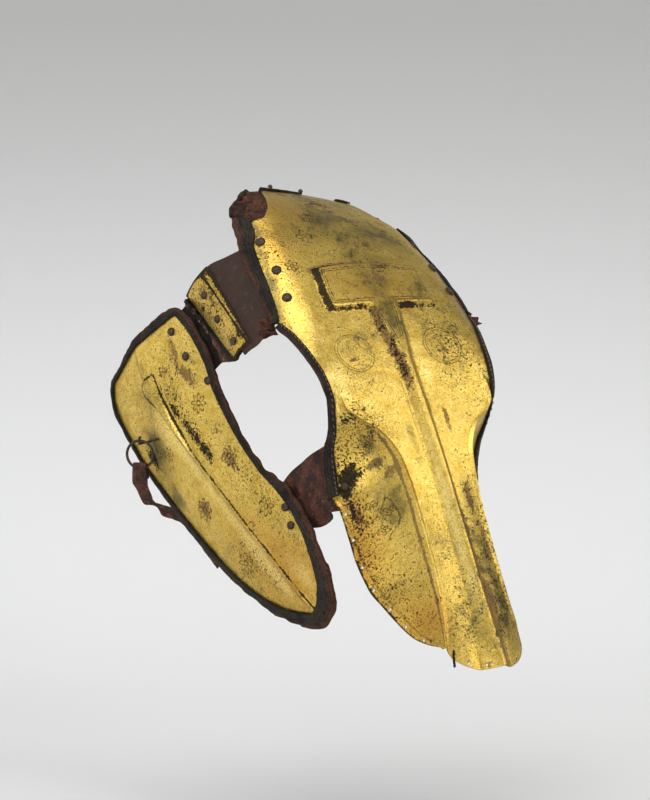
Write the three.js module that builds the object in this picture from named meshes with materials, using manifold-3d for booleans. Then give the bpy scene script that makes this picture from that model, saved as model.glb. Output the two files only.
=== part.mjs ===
// Horse head armour: a gilt copper face plate with a raised T and a nose ridge, and on each side a
// small plate and a cheek plate that hang on leather. Millimetres, +Z up; the horse looks along -Y,
// +X is its left. The origin is the inner side of the face plate at the brow, on the middle line,
// where the armour rests on the horse's forehead.
import * as THREE from 'three';
import Module from 'manifold-3d';
import { mergeVertices } from 'three/addons/utils/BufferGeometryUtils.js';

const wasm = await Module();
wasm.setup();

// Driving dimensions
const PLATE_LENGTH = 620; // face plate along its middle line
const BROW_HALF = 118; // half width of the face plate across the brow lobes
const FLARE_DEPTH = 74; // how far the flares reach back from the middle line
const PLATE_WALL = 1.5; // gilt copper sheet of the face plate
const CHEEK_LENGTH = 380; // cheek plate from top edge to tip
const CHEEK_WIDTH = 168; // cheek plate at its widest
const CHEEK_WALL = 1.5;
const CHEEK_DOME = 9; // how far the cheek plate bulges out
const LAME_LENGTH = 118; // small plate, along its rivets
const LAME_WIDTH = 48;
const LAME_WALL = 1.5;
const LAME_DOME = 3;
const LEATHER = 2; // thickness of all leather
const GAP = 0.3; // clearance between touching pieces
const FOLD_GAP = 0.7; // clearance between a sheet and the leather folded over it
const BAR_HEIGHT = 5; // the raised T stands out by this much
const BAR_FLANK = 5; // width of the T's sloping sides
const BAR_ARCH = 5; // rise of the T's top edge at the middle
const BAR_TOP = 153; // T's top edge from the poll edge, along the middle line
const BAR_BOTTOM = 201; // T's bottom edge
const BAR_HALF_SHARE = 0.75; // half length of the T's bar, as a share of the crown's half width
const RIVET_R = 5.4;
const RIVET_HEIGHT = 3.4;
const HOLE_R = 1.5; // stitch holes along the lower rim
const HOLE_INSET = 4.5;
const RING_R = 15;
const RING_WIRE = 1.5;
const SLOT_HALF = 17; // crescent slot for the plume holder
const SLOT_WIDTH = 7;
const SLOT_AT = 38; // from the poll edge
const TIP_REACH = 33; // how far the rounded nose tip passes the nose corners
const NOTCH_DEPTH = 60; // ear notch, measured down from the poll edge

const GILT = { color: 0xc9a048, metalness: 1, roughness: 0.34 };
const DARK_LEATHER = { color: 0x2a211c, metalness: 0, roughness: 0.7 };
const BROWN_LEATHER = { color: 0x54392e, metalness: 0, roughness: 0.75 };
const RED_LEATHER = { color: 0x4d231a, metalness: 0, roughness: 0.75 };
const IRON = { color: 0x2c2622, metalness: 0.8, roughness: 0.55 };

// Sections of the face plate, from the poll edge to the nose. run is the share of PLATE_LENGTH;
// fall the slope of the middle line below level, in degrees; crown and edge the half widths at the
// crease line and at the rim, shares of BROW_HALF; crownDrop and edgeDrop how far these lines lie
// behind the middle line, shares of FLARE_DEPTH; hollow how much the side panel is scooped;
// bead the height of the raised line on the crease, in shares of BAR_HEIGHT; sprung the turn by
// which the old plate has sprung out of true, in degrees.
const SECTIONS = [
  { run: 0, fall: 8, crown: 0.52, crownDrop: 0.01, edge: 0.83, edgeDrop: 0.11, hollow: -0.1, bead: 0, sprung: 9.5 },
  { run: 0.076, fall: 26, crown: 0.56, crownDrop: 0.03, edge: 0.83, edgeDrop: 0.16, hollow: -0.1, bead: 0, sprung: 7 },
  { run: 0.127, fall: 33, crown: 0.6, crownDrop: 0.04, edge: 0.85, edgeDrop: 0.2, hollow: -0.1, bead: 0, sprung: 4.5 },
  { run: 0.161, fall: 36.5, crown: 0.64, crownDrop: 0.05, edge: 0.915, edgeDrop: 0.27, hollow: -0.1, bead: 0, sprung: 3.8 },
  { run: 0.21, fall: 40, crown: 0.66, crownDrop: 0.06, edge: 0.95, edgeDrop: 0.28, hollow: -0.1, bead: 0, sprung: 2.4 },
  { run: 0.26, fall: 43.5, crown: 0.68, crownDrop: 0.06, edge: 0.97, edgeDrop: 0.285, hollow: -0.1, bead: 0, sprung: 1.2 },
  { run: 0.3, fall: 46.5, crown: 0.7, crownDrop: 0.06, edge: 0.99, edgeDrop: 0.28, hollow: -0.1, bead: 0, sprung: 0.4 },
  { run: 0.33, fall: 49, crown: 0.7, crownDrop: 0.05, edge: 1.005, edgeDrop: 0.31, hollow: -0.1, bead: 0, sprung: 0 },
  { run: 0.366, fall: 52, crown: 0.71, crownDrop: 0.04, edge: 0.98, edgeDrop: 0.184, hollow: 0, bead: 0, sprung: 0 },
  { run: 0.413, fall: 54.7, crown: 0.73, crownDrop: 0.015, edge: 0.932, edgeDrop: 0.077, hollow: 0, bead: 0, sprung: 0 },
  { run: 0.458, fall: 56, crown: 0.76, crownDrop: 0, edge: 0.894, edgeDrop: 0.016, hollow: 0, bead: 0, sprung: 0 },
  { run: 0.494, fall: 56.7, crown: 0.79, crownDrop: 0, edge: 0.864, edgeDrop: 0.057, hollow: 0, bead: 0.1, sprung: 0 },
  { run: 0.516, fall: 57, crown: 0.78, crownDrop: 0.02, edge: 0.843, edgeDrop: 0.19, hollow: 0.1, bead: 0.35, sprung: 0 },
  { run: 0.544, fall: 57.4, crown: 0.66, crownDrop: 0.01, edge: 0.814, edgeDrop: 0.438, hollow: 0.3, bead: 0.5, sprung: 0 },
  { run: 0.561, fall: 57.7, crown: 0.54, crownDrop: 0, edge: 0.805, edgeDrop: 0.66, hollow: 0.45, bead: 0.5, sprung: 0 },
  { run: 0.585, fall: 58.2, crown: 0.45, crownDrop: -0.01, edge: 0.788, edgeDrop: 0.823, hollow: 0.5, bead: 0.5, sprung: 0 },
  { run: 0.613, fall: 58.9, crown: 0.39, crownDrop: -0.01, edge: 0.775, edgeDrop: 0.93, hollow: 0.5, bead: 0.5, sprung: 0 },
  { run: 0.634, fall: 59.2, crown: 0.37, crownDrop: 0, edge: 0.767, edgeDrop: 0.98, hollow: 0.5, bead: 0.5, sprung: 0 },
  { run: 0.661, fall: 59.7, crown: 0.352, crownDrop: 0.015, edge: 0.746, edgeDrop: 0.92, hollow: 0.5, bead: 0.5, sprung: 0 },
  { run: 0.705, fall: 60.3, crown: 0.34, crownDrop: 0.04, edge: 0.733, edgeDrop: 0.937, hollow: 0.5, bead: 0.45, sprung: 0 },
  { run: 0.753, fall: 60.8, crown: 0.335, crownDrop: 0.06, edge: 0.72, edgeDrop: 0.957, hollow: 0.45, bead: 0.4, sprung: 0 },
  { run: 0.803, fall: 61.2, crown: 0.335, crownDrop: 0.068, edge: 0.678, edgeDrop: 0.94, hollow: 0.4, bead: 0.4, sprung: 0 },
  { run: 0.845, fall: 61.6, crown: 0.343, crownDrop: 0.075, edge: 0.627, edgeDrop: 0.807, hollow: 0.3, bead: 0.35, sprung: 0 },
  { run: 0.884, fall: 62, crown: 0.356, crownDrop: 0.095, edge: 0.568, edgeDrop: 0.682, hollow: 0.25, bead: 0.3, sprung: 0 },
  { run: 0.913, fall: 62.3, crown: 0.373, crownDrop: 0.12, edge: 0.513, edgeDrop: 0.554, hollow: 0.2, bead: 0.3, sprung: 0 },
  { run: 0.932, fall: 62.5, crown: 0.384, crownDrop: 0.155, edge: 0.453, edgeDrop: 0.396, hollow: 0.1, bead: 0.25, sprung: 0 },
  { run: 0.947, fall: 62.5, crown: 0.39, crownDrop: 0.176, edge: 0.403, edgeDrop: 0.215, hollow: 0, bead: 0.2, sprung: 0 },
  { run: 1, fall: 62, crown: 0.39, crownDrop: 0.176, edge: 0.403, edgeDrop: 0.215, hollow: 0, bead: 0.2, sprung: 0 },
];

// The stem of the T and the nose ridge below it: half width of the flat top, half width at the
// foot (shares of BROW_HALF) and height (share of BAR_HEIGHT), by run.
const RIDGE = [
  { run: 0.32, top: 0.127, foot: 0.161, high: 1 },
  { run: 0.39, top: 0.076, foot: 0.131, high: 1.4 },
  { run: 0.457, top: 0.012, foot: 0.095, high: 2 },
  { run: 0.613, top: 0.012, foot: 0.092, high: 2.15 },
  { run: 0.845, top: 0.012, foot: 0.096, high: 2.2 },
  { run: 0.91, top: 0.014, foot: 0.11, high: 2.5 },
  { run: 0.97, top: 0.014, foot: 0.15, high: 3.3 },
  { run: 1, top: 0.014, foot: 0.155, high: 3.3 },
];

// Half of the poll edge with the ear notch: how far down the edge lies (share of NOTCH_DEPTH) at a
// share of the plate's half width.
const POLL_EDGE = [
  { out: 0, down: 0 },
  { out: 0.52, down: 0.06 },
  { out: 0.58, down: 0.2 },
  { out: 0.62, down: 0.55 },
  { out: 0.7, down: 0.88 },
  { out: 0.8, down: 1.03 },
  { out: 0.92, down: 1.06 },
  { out: 1, down: 1 },
];

// Smooth monotone curve through one column of a table
function column(rows, key, name) {
  const n = rows.length;
  const x = rows.map((row) => row[key]);
  const y = rows.map((row) => row[name]);
  const step = x.slice(1).map((v, i) => v - x[i]);
  const rise = step.map((h, i) => (y[i + 1] - y[i]) / h);
  const slope = y.map((v, i) => {
    if (i === 0) return rise[0];
    if (i === n - 1) return rise[n - 2];
    if (rise[i - 1] * rise[i] <= 0) return 0;
    const before = 2 * step[i] + step[i - 1];
    const after = step[i] + 2 * step[i - 1];
    return (before + after) / (before / rise[i - 1] + after / rise[i]);
  });
  return (at) => {
    const v = Math.min(Math.max(at, x[0]), x[n - 1]);
    let i = 0;
    while (i < n - 2 && v > x[i + 1]) i += 1;
    const h = step[i];
    const f = (v - x[i]) / h;
    const g = 1 - f;
    return (
      y[i] * (1 + 2 * f) * g * g +
      y[i + 1] * (3 - 2 * f) * f * f +
      h * f * g * (slope[i] * g - slope[i + 1] * f)
    );
  };
}

const clamp01 = (v) => Math.min(Math.max(v, 0), 1);
const lerp = (a, b, f) => a + (b - a) * f;

const section = {};
for (const name of ['fall', 'crown', 'crownDrop', 'edge', 'edgeDrop', 'hollow', 'bead', 'sprung']) {
  section[name] = column(SECTIONS, 'run', name);
}
const ridge = {};
for (const name of ['top', 'foot', 'high']) {
  ridge[name] = column(RIDGE, 'run', name);
}
const pollDown = column(POLL_EDGE, 'out', 'down');

// The middle line in the plane X = 0, by adding up its slope from the poll edge on; the origin is
// on the plate's inner side at the brow.
const MIDDLE_STEP = 2;
const BROW_AT = 200; // where the plate rests on the forehead, from the poll edge
const middle = [];
{
  let y = 0;
  let z = 0;
  const count = Math.ceil(PLATE_LENGTH / MIDDLE_STEP) + 10;
  for (let i = 0; i <= count; i += 1) {
    const run = (i * MIDDLE_STEP) / PLATE_LENGTH;
    const fall = THREE.MathUtils.degToRad(section.fall(run));
    middle.push({ y, z, fall });
    y -= Math.cos(fall) * MIDDLE_STEP;
    z -= Math.sin(fall) * MIDDLE_STEP;
  }
  const brow = middle[Math.round(BROW_AT / MIDDLE_STEP)];
  const restY = brow.y + Math.sin(brow.fall) * PLATE_WALL;
  const restZ = brow.z - Math.cos(brow.fall) * PLATE_WALL;
  for (const point of middle) {
    point.y -= restY;
    point.z -= restZ;
  }
}
function middleAt(s) {
  const v = Math.min(Math.max(s / MIDDLE_STEP, 0), middle.length - 1.001);
  const i = Math.floor(v);
  const f = v - i;
  return {
    y: lerp(middle[i].y, middle[i + 1].y, f),
    z: lerp(middle[i].z, middle[i + 1].z, f),
    fall: lerp(middle[i].fall, middle[i + 1].fall, f),
  };
}

// Height of the raised T, ridge and bead over the plain sheet at distance s from the poll edge and
// x from the middle line
function relief(s, x) {
  const run = s / PLATE_LENGTH;
  const crown = section.crown(run) * BROW_HALF;
  const off = Math.abs(x);
  const barFoot = BAR_HALF_SHARE * crown + BAR_FLANK;
  const arch = BAR_ARCH * (1 - clamp01(off / barFoot) ** 2);
  const barTop = BAR_TOP - BAR_FLANK - arch;
  const bar =
    clamp01((barFoot - off) / BAR_FLANK) *
    clamp01((s - barTop) / BAR_FLANK) *
    clamp01((BAR_BOTTOM + BAR_FLANK - s) / BAR_FLANK);
  const top = ridge.top(run) * BROW_HALF;
  const foot = ridge.foot(run) * BROW_HALF;
  const stem = s > BAR_BOTTOM ? ridge.high(run) * clamp01((foot - off) / (foot - top)) : 0;
  return BAR_HEIGHT * Math.max(bar, stem);
}

// A point of the face plate's outer side. across is 0 on the middle line, 1 on the crease line and
// 2 on the rim, with the sign of X.
function plateSpot(s, across) {
  const run = s / PLATE_LENGTH;
  const sign = Math.sign(across) || 1;
  const share = Math.abs(across);
  const crown = section.crown(run) * BROW_HALF;
  const crownDrop = section.crownDrop(run) * FLARE_DEPTH;
  const edge = section.edge(run) * BROW_HALF;
  const edgeDrop = section.edgeDrop(run) * FLARE_DEPTH;
  const hollow = section.hollow(run);
  const bead = section.bead(run) * BAR_HEIGHT;
  let x;
  let drop;
  if (share <= 1) {
    x = crown * share;
    drop = crownDrop * share ** 3 - bead * clamp01(1 - ((1 - share) * crown) / BAR_FLANK);
    drop -= relief(s, x);
  } else {
    const g = share - 1;
    const sag = hollow * g * (1 - g);
    x = crown + (edge - crown) * (g - sag * 0.6);
    drop = crownDrop + (edgeDrop - crownDrop) * (g + sag * 0.6);
    drop -= bead * clamp01(1 - (g * (edge - crown + edgeDrop - crownDrop)) / BAR_FLANK);
  }
  const turn = THREE.MathUtils.degToRad(section.sprung(run));
  const wide = sign * x;
  const lateral = wide * Math.cos(turn) - drop * Math.sin(turn);
  const sunk = drop * Math.cos(turn) + wide * Math.sin(turn);
  const m = middleAt(s);
  return new THREE.Vector3(
    lateral,
    m.y + sunk * Math.sin(m.fall),
    m.z - sunk * Math.cos(m.fall),
  );
}

// The plate's own grid: row is the distance from the poll edge along the middle line, bent round
// the ear notches at the top, up to the T's arched edge, and out to the rounded nose tip.
const NOSE_CORNER_SHARE = 0.947;
function plateRow(row, across) {
  const corner = NOSE_CORNER_SHARE * PLATE_LENGTH;
  const share = Math.abs(across);
  const run = row / PLATE_LENGTH;
  const crown = section.crown(run);
  const edge = section.edge(run);
  const out = share <= 1 ? (share * crown) / edge : lerp(crown, edge, share - 1) / edge;
  let s = row;
  const notchEnd = NOTCH_DEPTH * 1.7;
  if (row < notchEnd) {
    s = row + pollDown(out) * NOTCH_DEPTH * (1 - row / notchEnd);
  }
  const archReach = 25;
  const archAt = BAR_TOP - BAR_FLANK / 2;
  if (Math.abs(row - archAt) < archReach) {
    const barShare = clamp01(share / (BAR_HALF_SHARE + BAR_FLANK / (section.crown(run) * BROW_HALF)));
    s -= BAR_ARCH * (1 - barShare ** 2) * clamp01((archReach - Math.abs(row - archAt)) / (archReach / 2));
  }
  const tipStart = 0.83 * PLATE_LENGTH;
  if (row > tipStart) {
    const blend = ((row - tipStart) / (corner - tipStart)) ** 2;
    s += TIP_REACH * blend * Math.sqrt(1 - Math.min(share, 1) ** 2);
  }
  return s;
}
const plateAt = (row, across) => plateSpot(plateRow(row, across), across);

// A closed solid from positions and triangles, turned so that its faces point outwards
function solidGeometry(points, triangles) {
  let volume = 0;
  const cross = new THREE.Vector3();
  for (const [a, b, c] of triangles) {
    volume += cross.crossVectors(points[b], points[c]).dot(points[a]);
  }
  const positions = new Float32Array(points.flatMap((p) => [p.x, p.y, p.z]));
  const index = triangles.flatMap(([a, b, c]) => (volume < 0 ? [a, c, b] : [a, b, c]));
  const geometry = new THREE.BufferGeometry();
  geometry.setAttribute('position', new THREE.BufferAttribute(positions, 3));
  geometry.setIndex(index);
  return geometry;
}

// A sheet of the given wall from a grid of points on its outer side. Its rim is closed square.
function sheetGeometry(grid, wall, inward) {
  const rows = grid.length;
  const cols = grid[0].length;
  const at = (i, j) => i * cols + j;
  const points = grid.flat();
  const normals = points.map(() => new THREE.Vector3());
  const u = new THREE.Vector3();
  const v = new THREE.Vector3();
  for (let i = 0; i < rows; i += 1) {
    for (let j = 0; j < cols; j += 1) {
      u.subVectors(grid[Math.min(i + 1, rows - 1)][j], grid[Math.max(i - 1, 0)][j]);
      v.subVectors(grid[i][Math.min(j + 1, cols - 1)], grid[i][Math.max(j - 1, 0)]);
      normals[at(i, j)].crossVectors(u, v).normalize();
    }
  }
  const facing = normals[at(rows >> 1, cols >> 1)].dot(inward) > 0 ? 1 : -1;
  const inner = points.map((p, k) => p.clone().addScaledVector(normals[k], facing * wall));
  const all = [...points, ...inner];
  const far = points.length;
  const triangles = [];
  for (let i = 0; i < rows - 1; i += 1) {
    for (let j = 0; j < cols - 1; j += 1) {
      const [a, b, c, d] = [at(i, j), at(i, j + 1), at(i + 1, j + 1), at(i + 1, j)];
      triangles.push([a, b, c], [a, c, d]);
      triangles.push([far + a, far + c, far + b], [far + a, far + d, far + c]);
    }
  }
  const border = [];
  for (let j = 0; j < cols - 1; j += 1) border.push(at(0, j));
  for (let i = 0; i < rows - 1; i += 1) border.push(at(i, cols - 1));
  for (let j = cols - 1; j > 0; j -= 1) border.push(at(rows - 1, j));
  for (let i = rows - 1; i > 0; i -= 1) border.push(at(i, 0));
  border.forEach((a, k) => {
    const b = border[(k + 1) % border.length];
    triangles.push([a, far + a, far + b], [a, far + b, b]);
  });
  return solidGeometry(all, triangles);
}

// Triangles that fill a profile, wound the way its corners run
function capTriangles(corners) {
  const flat = corners.map(([out, off]) => new THREE.Vector2(out, off));
  const turn = Math.sign(THREE.ShapeUtils.area(flat));
  return THREE.ShapeUtils.triangulateShape(flat, []).map(([a, b, c]) => {
    const same = Math.sign(THREE.ShapeUtils.area([flat[a], flat[b], flat[c]])) === turn;
    return same ? [a, b, c] : [a, c, b];
  });
}

// A profile carried along a path. Each frame holds a spot, the direction out over the edge and the
// direction off the surface; profile(i) gives its corners as [out, off] pairs.
function sweepGeometry(frames, profile, closed) {
  const rings = frames.map((frame, i) =>
    profile(i).map(([out, off]) =>
      frame.spot.clone().addScaledVector(frame.out, out).addScaledVector(frame.off, off),
    ),
  );
  const sides = rings[0].length;
  const count = rings.length;
  const triangles = [];
  const spans = closed ? count : count - 1;
  for (let i = 0; i < spans; i += 1) {
    for (let k = 0; k < sides; k += 1) {
      const a = i * sides + k;
      const b = i * sides + ((k + 1) % sides);
      const c = ((i + 1) % count) * sides + ((k + 1) % sides);
      const d = ((i + 1) % count) * sides + k;
      triangles.push([a, b, c], [a, c, d]);
    }
  }
  if (!closed) {
    const last = (count - 1) * sides;
    for (const [a, b, c] of capTriangles(profile(0))) triangles.push([c, b, a]);
    for (const [a, b, c] of capTriangles(profile(count - 1))) triangles.push([last + a, last + b, last + c]);
  }
  return solidGeometry(rings.flat(), triangles);
}

// Leather folded over a sheet's edge: it laps the sheet on both sides and its two layers meet
// past the edge
function foldedOver(lap, reach, wall, gap = FOLD_GAP) {
  const far = gap + LEATHER;
  const half = wall / 2;
  return [
    [-lap, gap],
    [-lap, far],
    [reach, LEATHER - half],
    [reach, -LEATHER - half],
    [-lap, -wall - far],
    [-lap, -wall - gap],
    [gap, -wall - gap],
    [gap, gap],
  ];
}

// Cut one closed geometry by others
function toSolid(geometry) {
  const bare = geometry.clone();
  bare.deleteAttribute('normal');
  bare.deleteAttribute('uv');
  const merged = mergeVertices(bare, 1e-4);
  const mesh = new wasm.Mesh({
    numProp: 3,
    vertProperties: new Float32Array(merged.attributes.position.array),
    triVerts: new Uint32Array(merged.index.array),
  });
  return new wasm.Manifold(mesh);
}
function cut(geometry, tools) {
  let body = toSolid(geometry);
  for (const tool of tools) body = body.subtract(toSolid(tool));
  const mesh = body.getMesh();
  const result = new THREE.BufferGeometry();
  result.setAttribute('position', new THREE.BufferAttribute(new Float32Array(mesh.vertProperties), 3));
  result.setIndex(Array.from(mesh.triVerts));
  return result;
}

const armour = new THREE.Group();
function addPiece(name, geometry, finish) {
  const mesh = new THREE.Mesh(geometry, new THREE.MeshStandardMaterial(finish));
  mesh.name = name;
  armour.add(mesh);
  return mesh;
}
const SIDES = [
  { name: 'right', sign: -1 },
  { name: 'left', sign: 1 },
];
const mirrored = (point, sign) => new THREE.Vector3(-sign * point.x, point.y, point.z);

// Face plate
const INNER_SIDE_SHARE = 1.75; // last line of the grid before the rim
function plateRows() {
  const below = BAR_BOTTOM + BAR_FLANK;
  const shares = [0.366, 0.39, 0.413, 0.435, 0.457, 0.476, 0.494, 0.516, 0.53, 0.544, 0.561, 0.585];
  const lower = [0.613, 0.634, 0.661, 0.705, 0.753, 0.803, 0.845, 0.884, 0.913, 0.932];
  const bar = [BAR_TOP - BAR_FLANK, BAR_TOP, (BAR_TOP * 2 + BAR_BOTTOM) / 3, (BAR_TOP + BAR_BOTTOM * 2) / 3];
  const top = [0, 0.3, 0.6, 0.9, 1.25, 1.7, 2.1].map((share) => share * NOTCH_DEPTH);
  const rest = [...shares, ...lower, NOSE_CORNER_SHARE].map((share) => share * PLATE_LENGTH);
  return [...top, ...bar, BAR_BOTTOM, below, ...rest];
}
function plateAcross(s) {
  const run = s / PLATE_LENGTH;
  const crown = section.crown(run);
  const top = ridge.top(run) / crown;
  const foot = ridge.foot(run) / crown;
  const barFoot = BAR_HALF_SHARE + BAR_FLANK / (crown * BROW_HALF);
  const bead = 1 - BAR_FLANK / (crown * BROW_HALF);
  const crownShares = [top, foot, lerp(foot, BAR_HALF_SHARE, 0.35), lerp(foot, BAR_HALF_SHARE, 0.7)];
  const outer = [BAR_HALF_SHARE, barFoot, Math.max(bead, lerp(barFoot, 1, 0.4)), 1];
  const sideShares = [1.12, 1.3, 1.5, INNER_SIDE_SHARE, 2];
  const half = [...crownShares, ...outer, ...sideShares];
  return [...half.map((v) => -v).reverse(), 0, ...half];
}
const plateGrid = plateRows().map((row) => plateAcross(row).map((across) => plateAt(row, across)));

// The rim of the face plate on one side, with the direction out over it and off the sheet
function rimFrame(row, sign) {
  const spot = plateAt(row, 2 * sign);
  const inside = plateAt(row, INNER_SIDE_SHARE * sign);
  const along = plateAt(row + 1, 2 * sign).sub(plateAt(row - 1, 2 * sign)).normalize();
  const out = spot.clone().sub(inside).normalize();
  const off = new THREE.Vector3().crossVectors(along, out).multiplyScalar(sign).normalize();
  return { spot, out, off, along };
}

function holeTool(spot, off) {
  const tool = new THREE.CylinderGeometry(HOLE_R, HOLE_R, PLATE_WALL * 8, 6);
  tool.applyQuaternion(new THREE.Quaternion().setFromUnitVectors(new THREE.Vector3(0, 1, 0), off));
  tool.translate(spot.x, spot.y, spot.z);
  return tool;
}
const HOLE_ROWS = [0.668, 0.715, 0.765, 0.808, 0.85, 0.888, 0.921];
const TIP_HOLES = [-0.62, -0.3, 0.3, 0.62];
function stitchHoles() {
  const tools = [];
  for (const { sign } of SIDES) {
    for (const share of HOLE_ROWS) {
      const frame = rimFrame(share * PLATE_LENGTH, sign);
      tools.push(holeTool(frame.spot.clone().addScaledVector(frame.out, -HOLE_INSET), frame.off));
    }
  }
  for (const across of TIP_HOLES) {
    const s = plateRow(NOSE_CORNER_SHARE * PLATE_LENGTH, across) - HOLE_INSET;
    const spot = plateSpot(s, across);
    const off = plateOff(s, across);
    tools.push(holeTool(spot, off));
  }
  return tools;
}
// Direction off the face plate's outer side
function plateOff(s, across) {
  const nudge = 0.02;
  const a = plateSpot(s + 1, across).sub(plateSpot(s - 1, across));
  const b = plateSpot(s, across + nudge).sub(plateSpot(s, across - nudge));
  return new THREE.Vector3().crossVectors(a, b).normalize();
}

// The crescent slot at the poll, a bent bar cut through the sheet
function slotTool() {
  const outer = new THREE.Shape();
  outer.moveTo(-SLOT_HALF, 0);
  outer.quadraticCurveTo(0, SLOT_WIDTH * 2, SLOT_HALF, 0);
  outer.quadraticCurveTo(0, SLOT_WIDTH * 0.7, -SLOT_HALF, 0);
  const deep = PLATE_WALL * 10;
  const tool = new THREE.ExtrudeGeometry(outer, { depth: deep, bevelEnabled: false, curveSegments: 6 });
  tool.translate(0, -SLOT_WIDTH / 2, -deep / 2);
  const spot = plateSpot(SLOT_AT, 0);
  const off = plateOff(SLOT_AT, 0);
  const up = plateSpot(SLOT_AT - 2, 0).sub(plateSpot(SLOT_AT + 2, 0)).normalize();
  const sideways = new THREE.Vector3().crossVectors(up, off);
  const place = new THREE.Matrix4().makeBasis(sideways, up, off).setPosition(spot);
  return tool.applyMatrix4(place);
}

const UP = new THREE.Vector3(0, 0, 1);
const plateBody = sheetGeometry(plateGrid, PLATE_WALL, new THREE.Vector3(0, 1, -1));
addPiece('face_plate', cut(plateBody, [slotTool(), ...stitchHoles()]), GILT);

// Leather binding round each eye cut
const EYE_FROM = 0.331;
const EYE_TO = 0.655;
const EYE_LAP = 5;
const EYE_REACH = 3;
for (const { name, sign } of SIDES) {
  const rows = plateRows().filter((row) => row > EYE_FROM * PLATE_LENGTH && row < EYE_TO * PLATE_LENGTH);
  const frames = rows.map((row) => rimFrame(row, sign));
  const profile = (i) => {
    const low = clamp01((i / rows.length - 0.55) / 0.3);
    return foldedOver(EYE_LAP + 5 * low, EYE_REACH + 2 * low, PLATE_WALL);
  };
  addPiece(`eye_binding_${name}`, sweepGeometry(frames, profile, false), DARK_LEATHER);
}

// Dark leather along the brow lobe, riveted under the plate and reaching out over its rim
const LOBE_FROM = -0.001;
const LOBE_TO = 0.33;
const LOBE_LAP = 3;
const LOBE_WIDE = 20;
const LOBE_NARROW = 7;
const lobeReach = (f) => lerp(LOBE_WIDE, LOBE_NARROW, f);
const lobeFrame = (f, sign) => rimFrame(lerp(LOBE_FROM, LOBE_TO, f) * PLATE_LENGTH, sign);
for (const { name, sign } of SIDES) {
  const rows = plateRows().filter((row) => row > LOBE_FROM * PLATE_LENGTH && row < LOBE_TO * PLATE_LENGTH);
  const frames = rows.map((row) => rimFrame(row, sign));
  const span = (LOBE_TO - LOBE_FROM) * PLATE_LENGTH;
  const profile = (i) => foldedOver(LOBE_LAP, lobeReach((rows[i] - LOBE_FROM * PLATE_LENGTH) / span), PLATE_WALL);
  addPiece(`side_binding_${name}`, sweepGeometry(frames, profile, false), DARK_LEATHER);
}

// Dark strip along the poll edge
function pollFrame(across) {
  const spot = plateAt(0, across);
  const inside = plateAt(0.3 * NOTCH_DEPTH, across);
  const along = plateAt(0, across + 0.02).sub(plateAt(0, across - 0.02)).normalize();
  const out = spot.clone().sub(inside).normalize();
  const off = new THREE.Vector3().crossVectors(along, out).normalize();
  if (off.z < 0) off.negate();
  return { spot, out, off, along };
}
const POLL_STRIP = plateAcross(0).filter((across) => across > -1 && across < 0.2);
const POLL_LOOP = plateAcross(0).filter((across) => across > 0.7 && across < 1);
addPiece(
  'poll_strip',
  sweepGeometry(POLL_STRIP.map(pollFrame), () => foldedOver(5, 3, PLATE_WALL), false),
  DARK_LEATHER,
);
addPiece(
  'poll_loop',
  sweepGeometry(POLL_LOOP.map(pollFrame), () => foldedOver(4, 3, PLATE_WALL), false),
  DARK_LEATHER,
);

// Cheek plate: its own frame has u along the ridge from the top to the tip, v across towards the
// horse's nose, and w off the plate. The plate is turned a little forward and down.
const CHEEK_CORNER = new THREE.Vector3(151.4, 169.1, -12.8); // front top corner on the left side, where it hangs
const CHEEK_TURN = 79;
const CHEEK_TILT = 3;
const CHEEK_FALL = 43.4;
function plateAxes(turn, tilt, fall) {
  const t = THREE.MathUtils.degToRad(turn);
  const e = THREE.MathUtils.degToRad(tilt);
  const f = THREE.MathUtils.degToRad(fall);
  const w = new THREE.Vector3(Math.sin(t) * Math.cos(e), -Math.cos(t) * Math.cos(e), -Math.sin(e));
  const forward = new THREE.Vector3().crossVectors(w, UP).normalize();
  const down = new THREE.Vector3().crossVectors(forward, w).negate().normalize();
  if (forward.y > 0) forward.negate();
  if (down.z > 0) down.negate();
  const u = forward.clone().multiplyScalar(Math.cos(f)).addScaledVector(down, Math.sin(f));
  const v = forward.clone().multiplyScalar(Math.sin(f)).addScaledVector(down, -Math.cos(f));
  return { u, v, w };
}
const cheekAxes = plateAxes(CHEEK_TURN, CHEEK_TILT, CHEEK_FALL);

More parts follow.
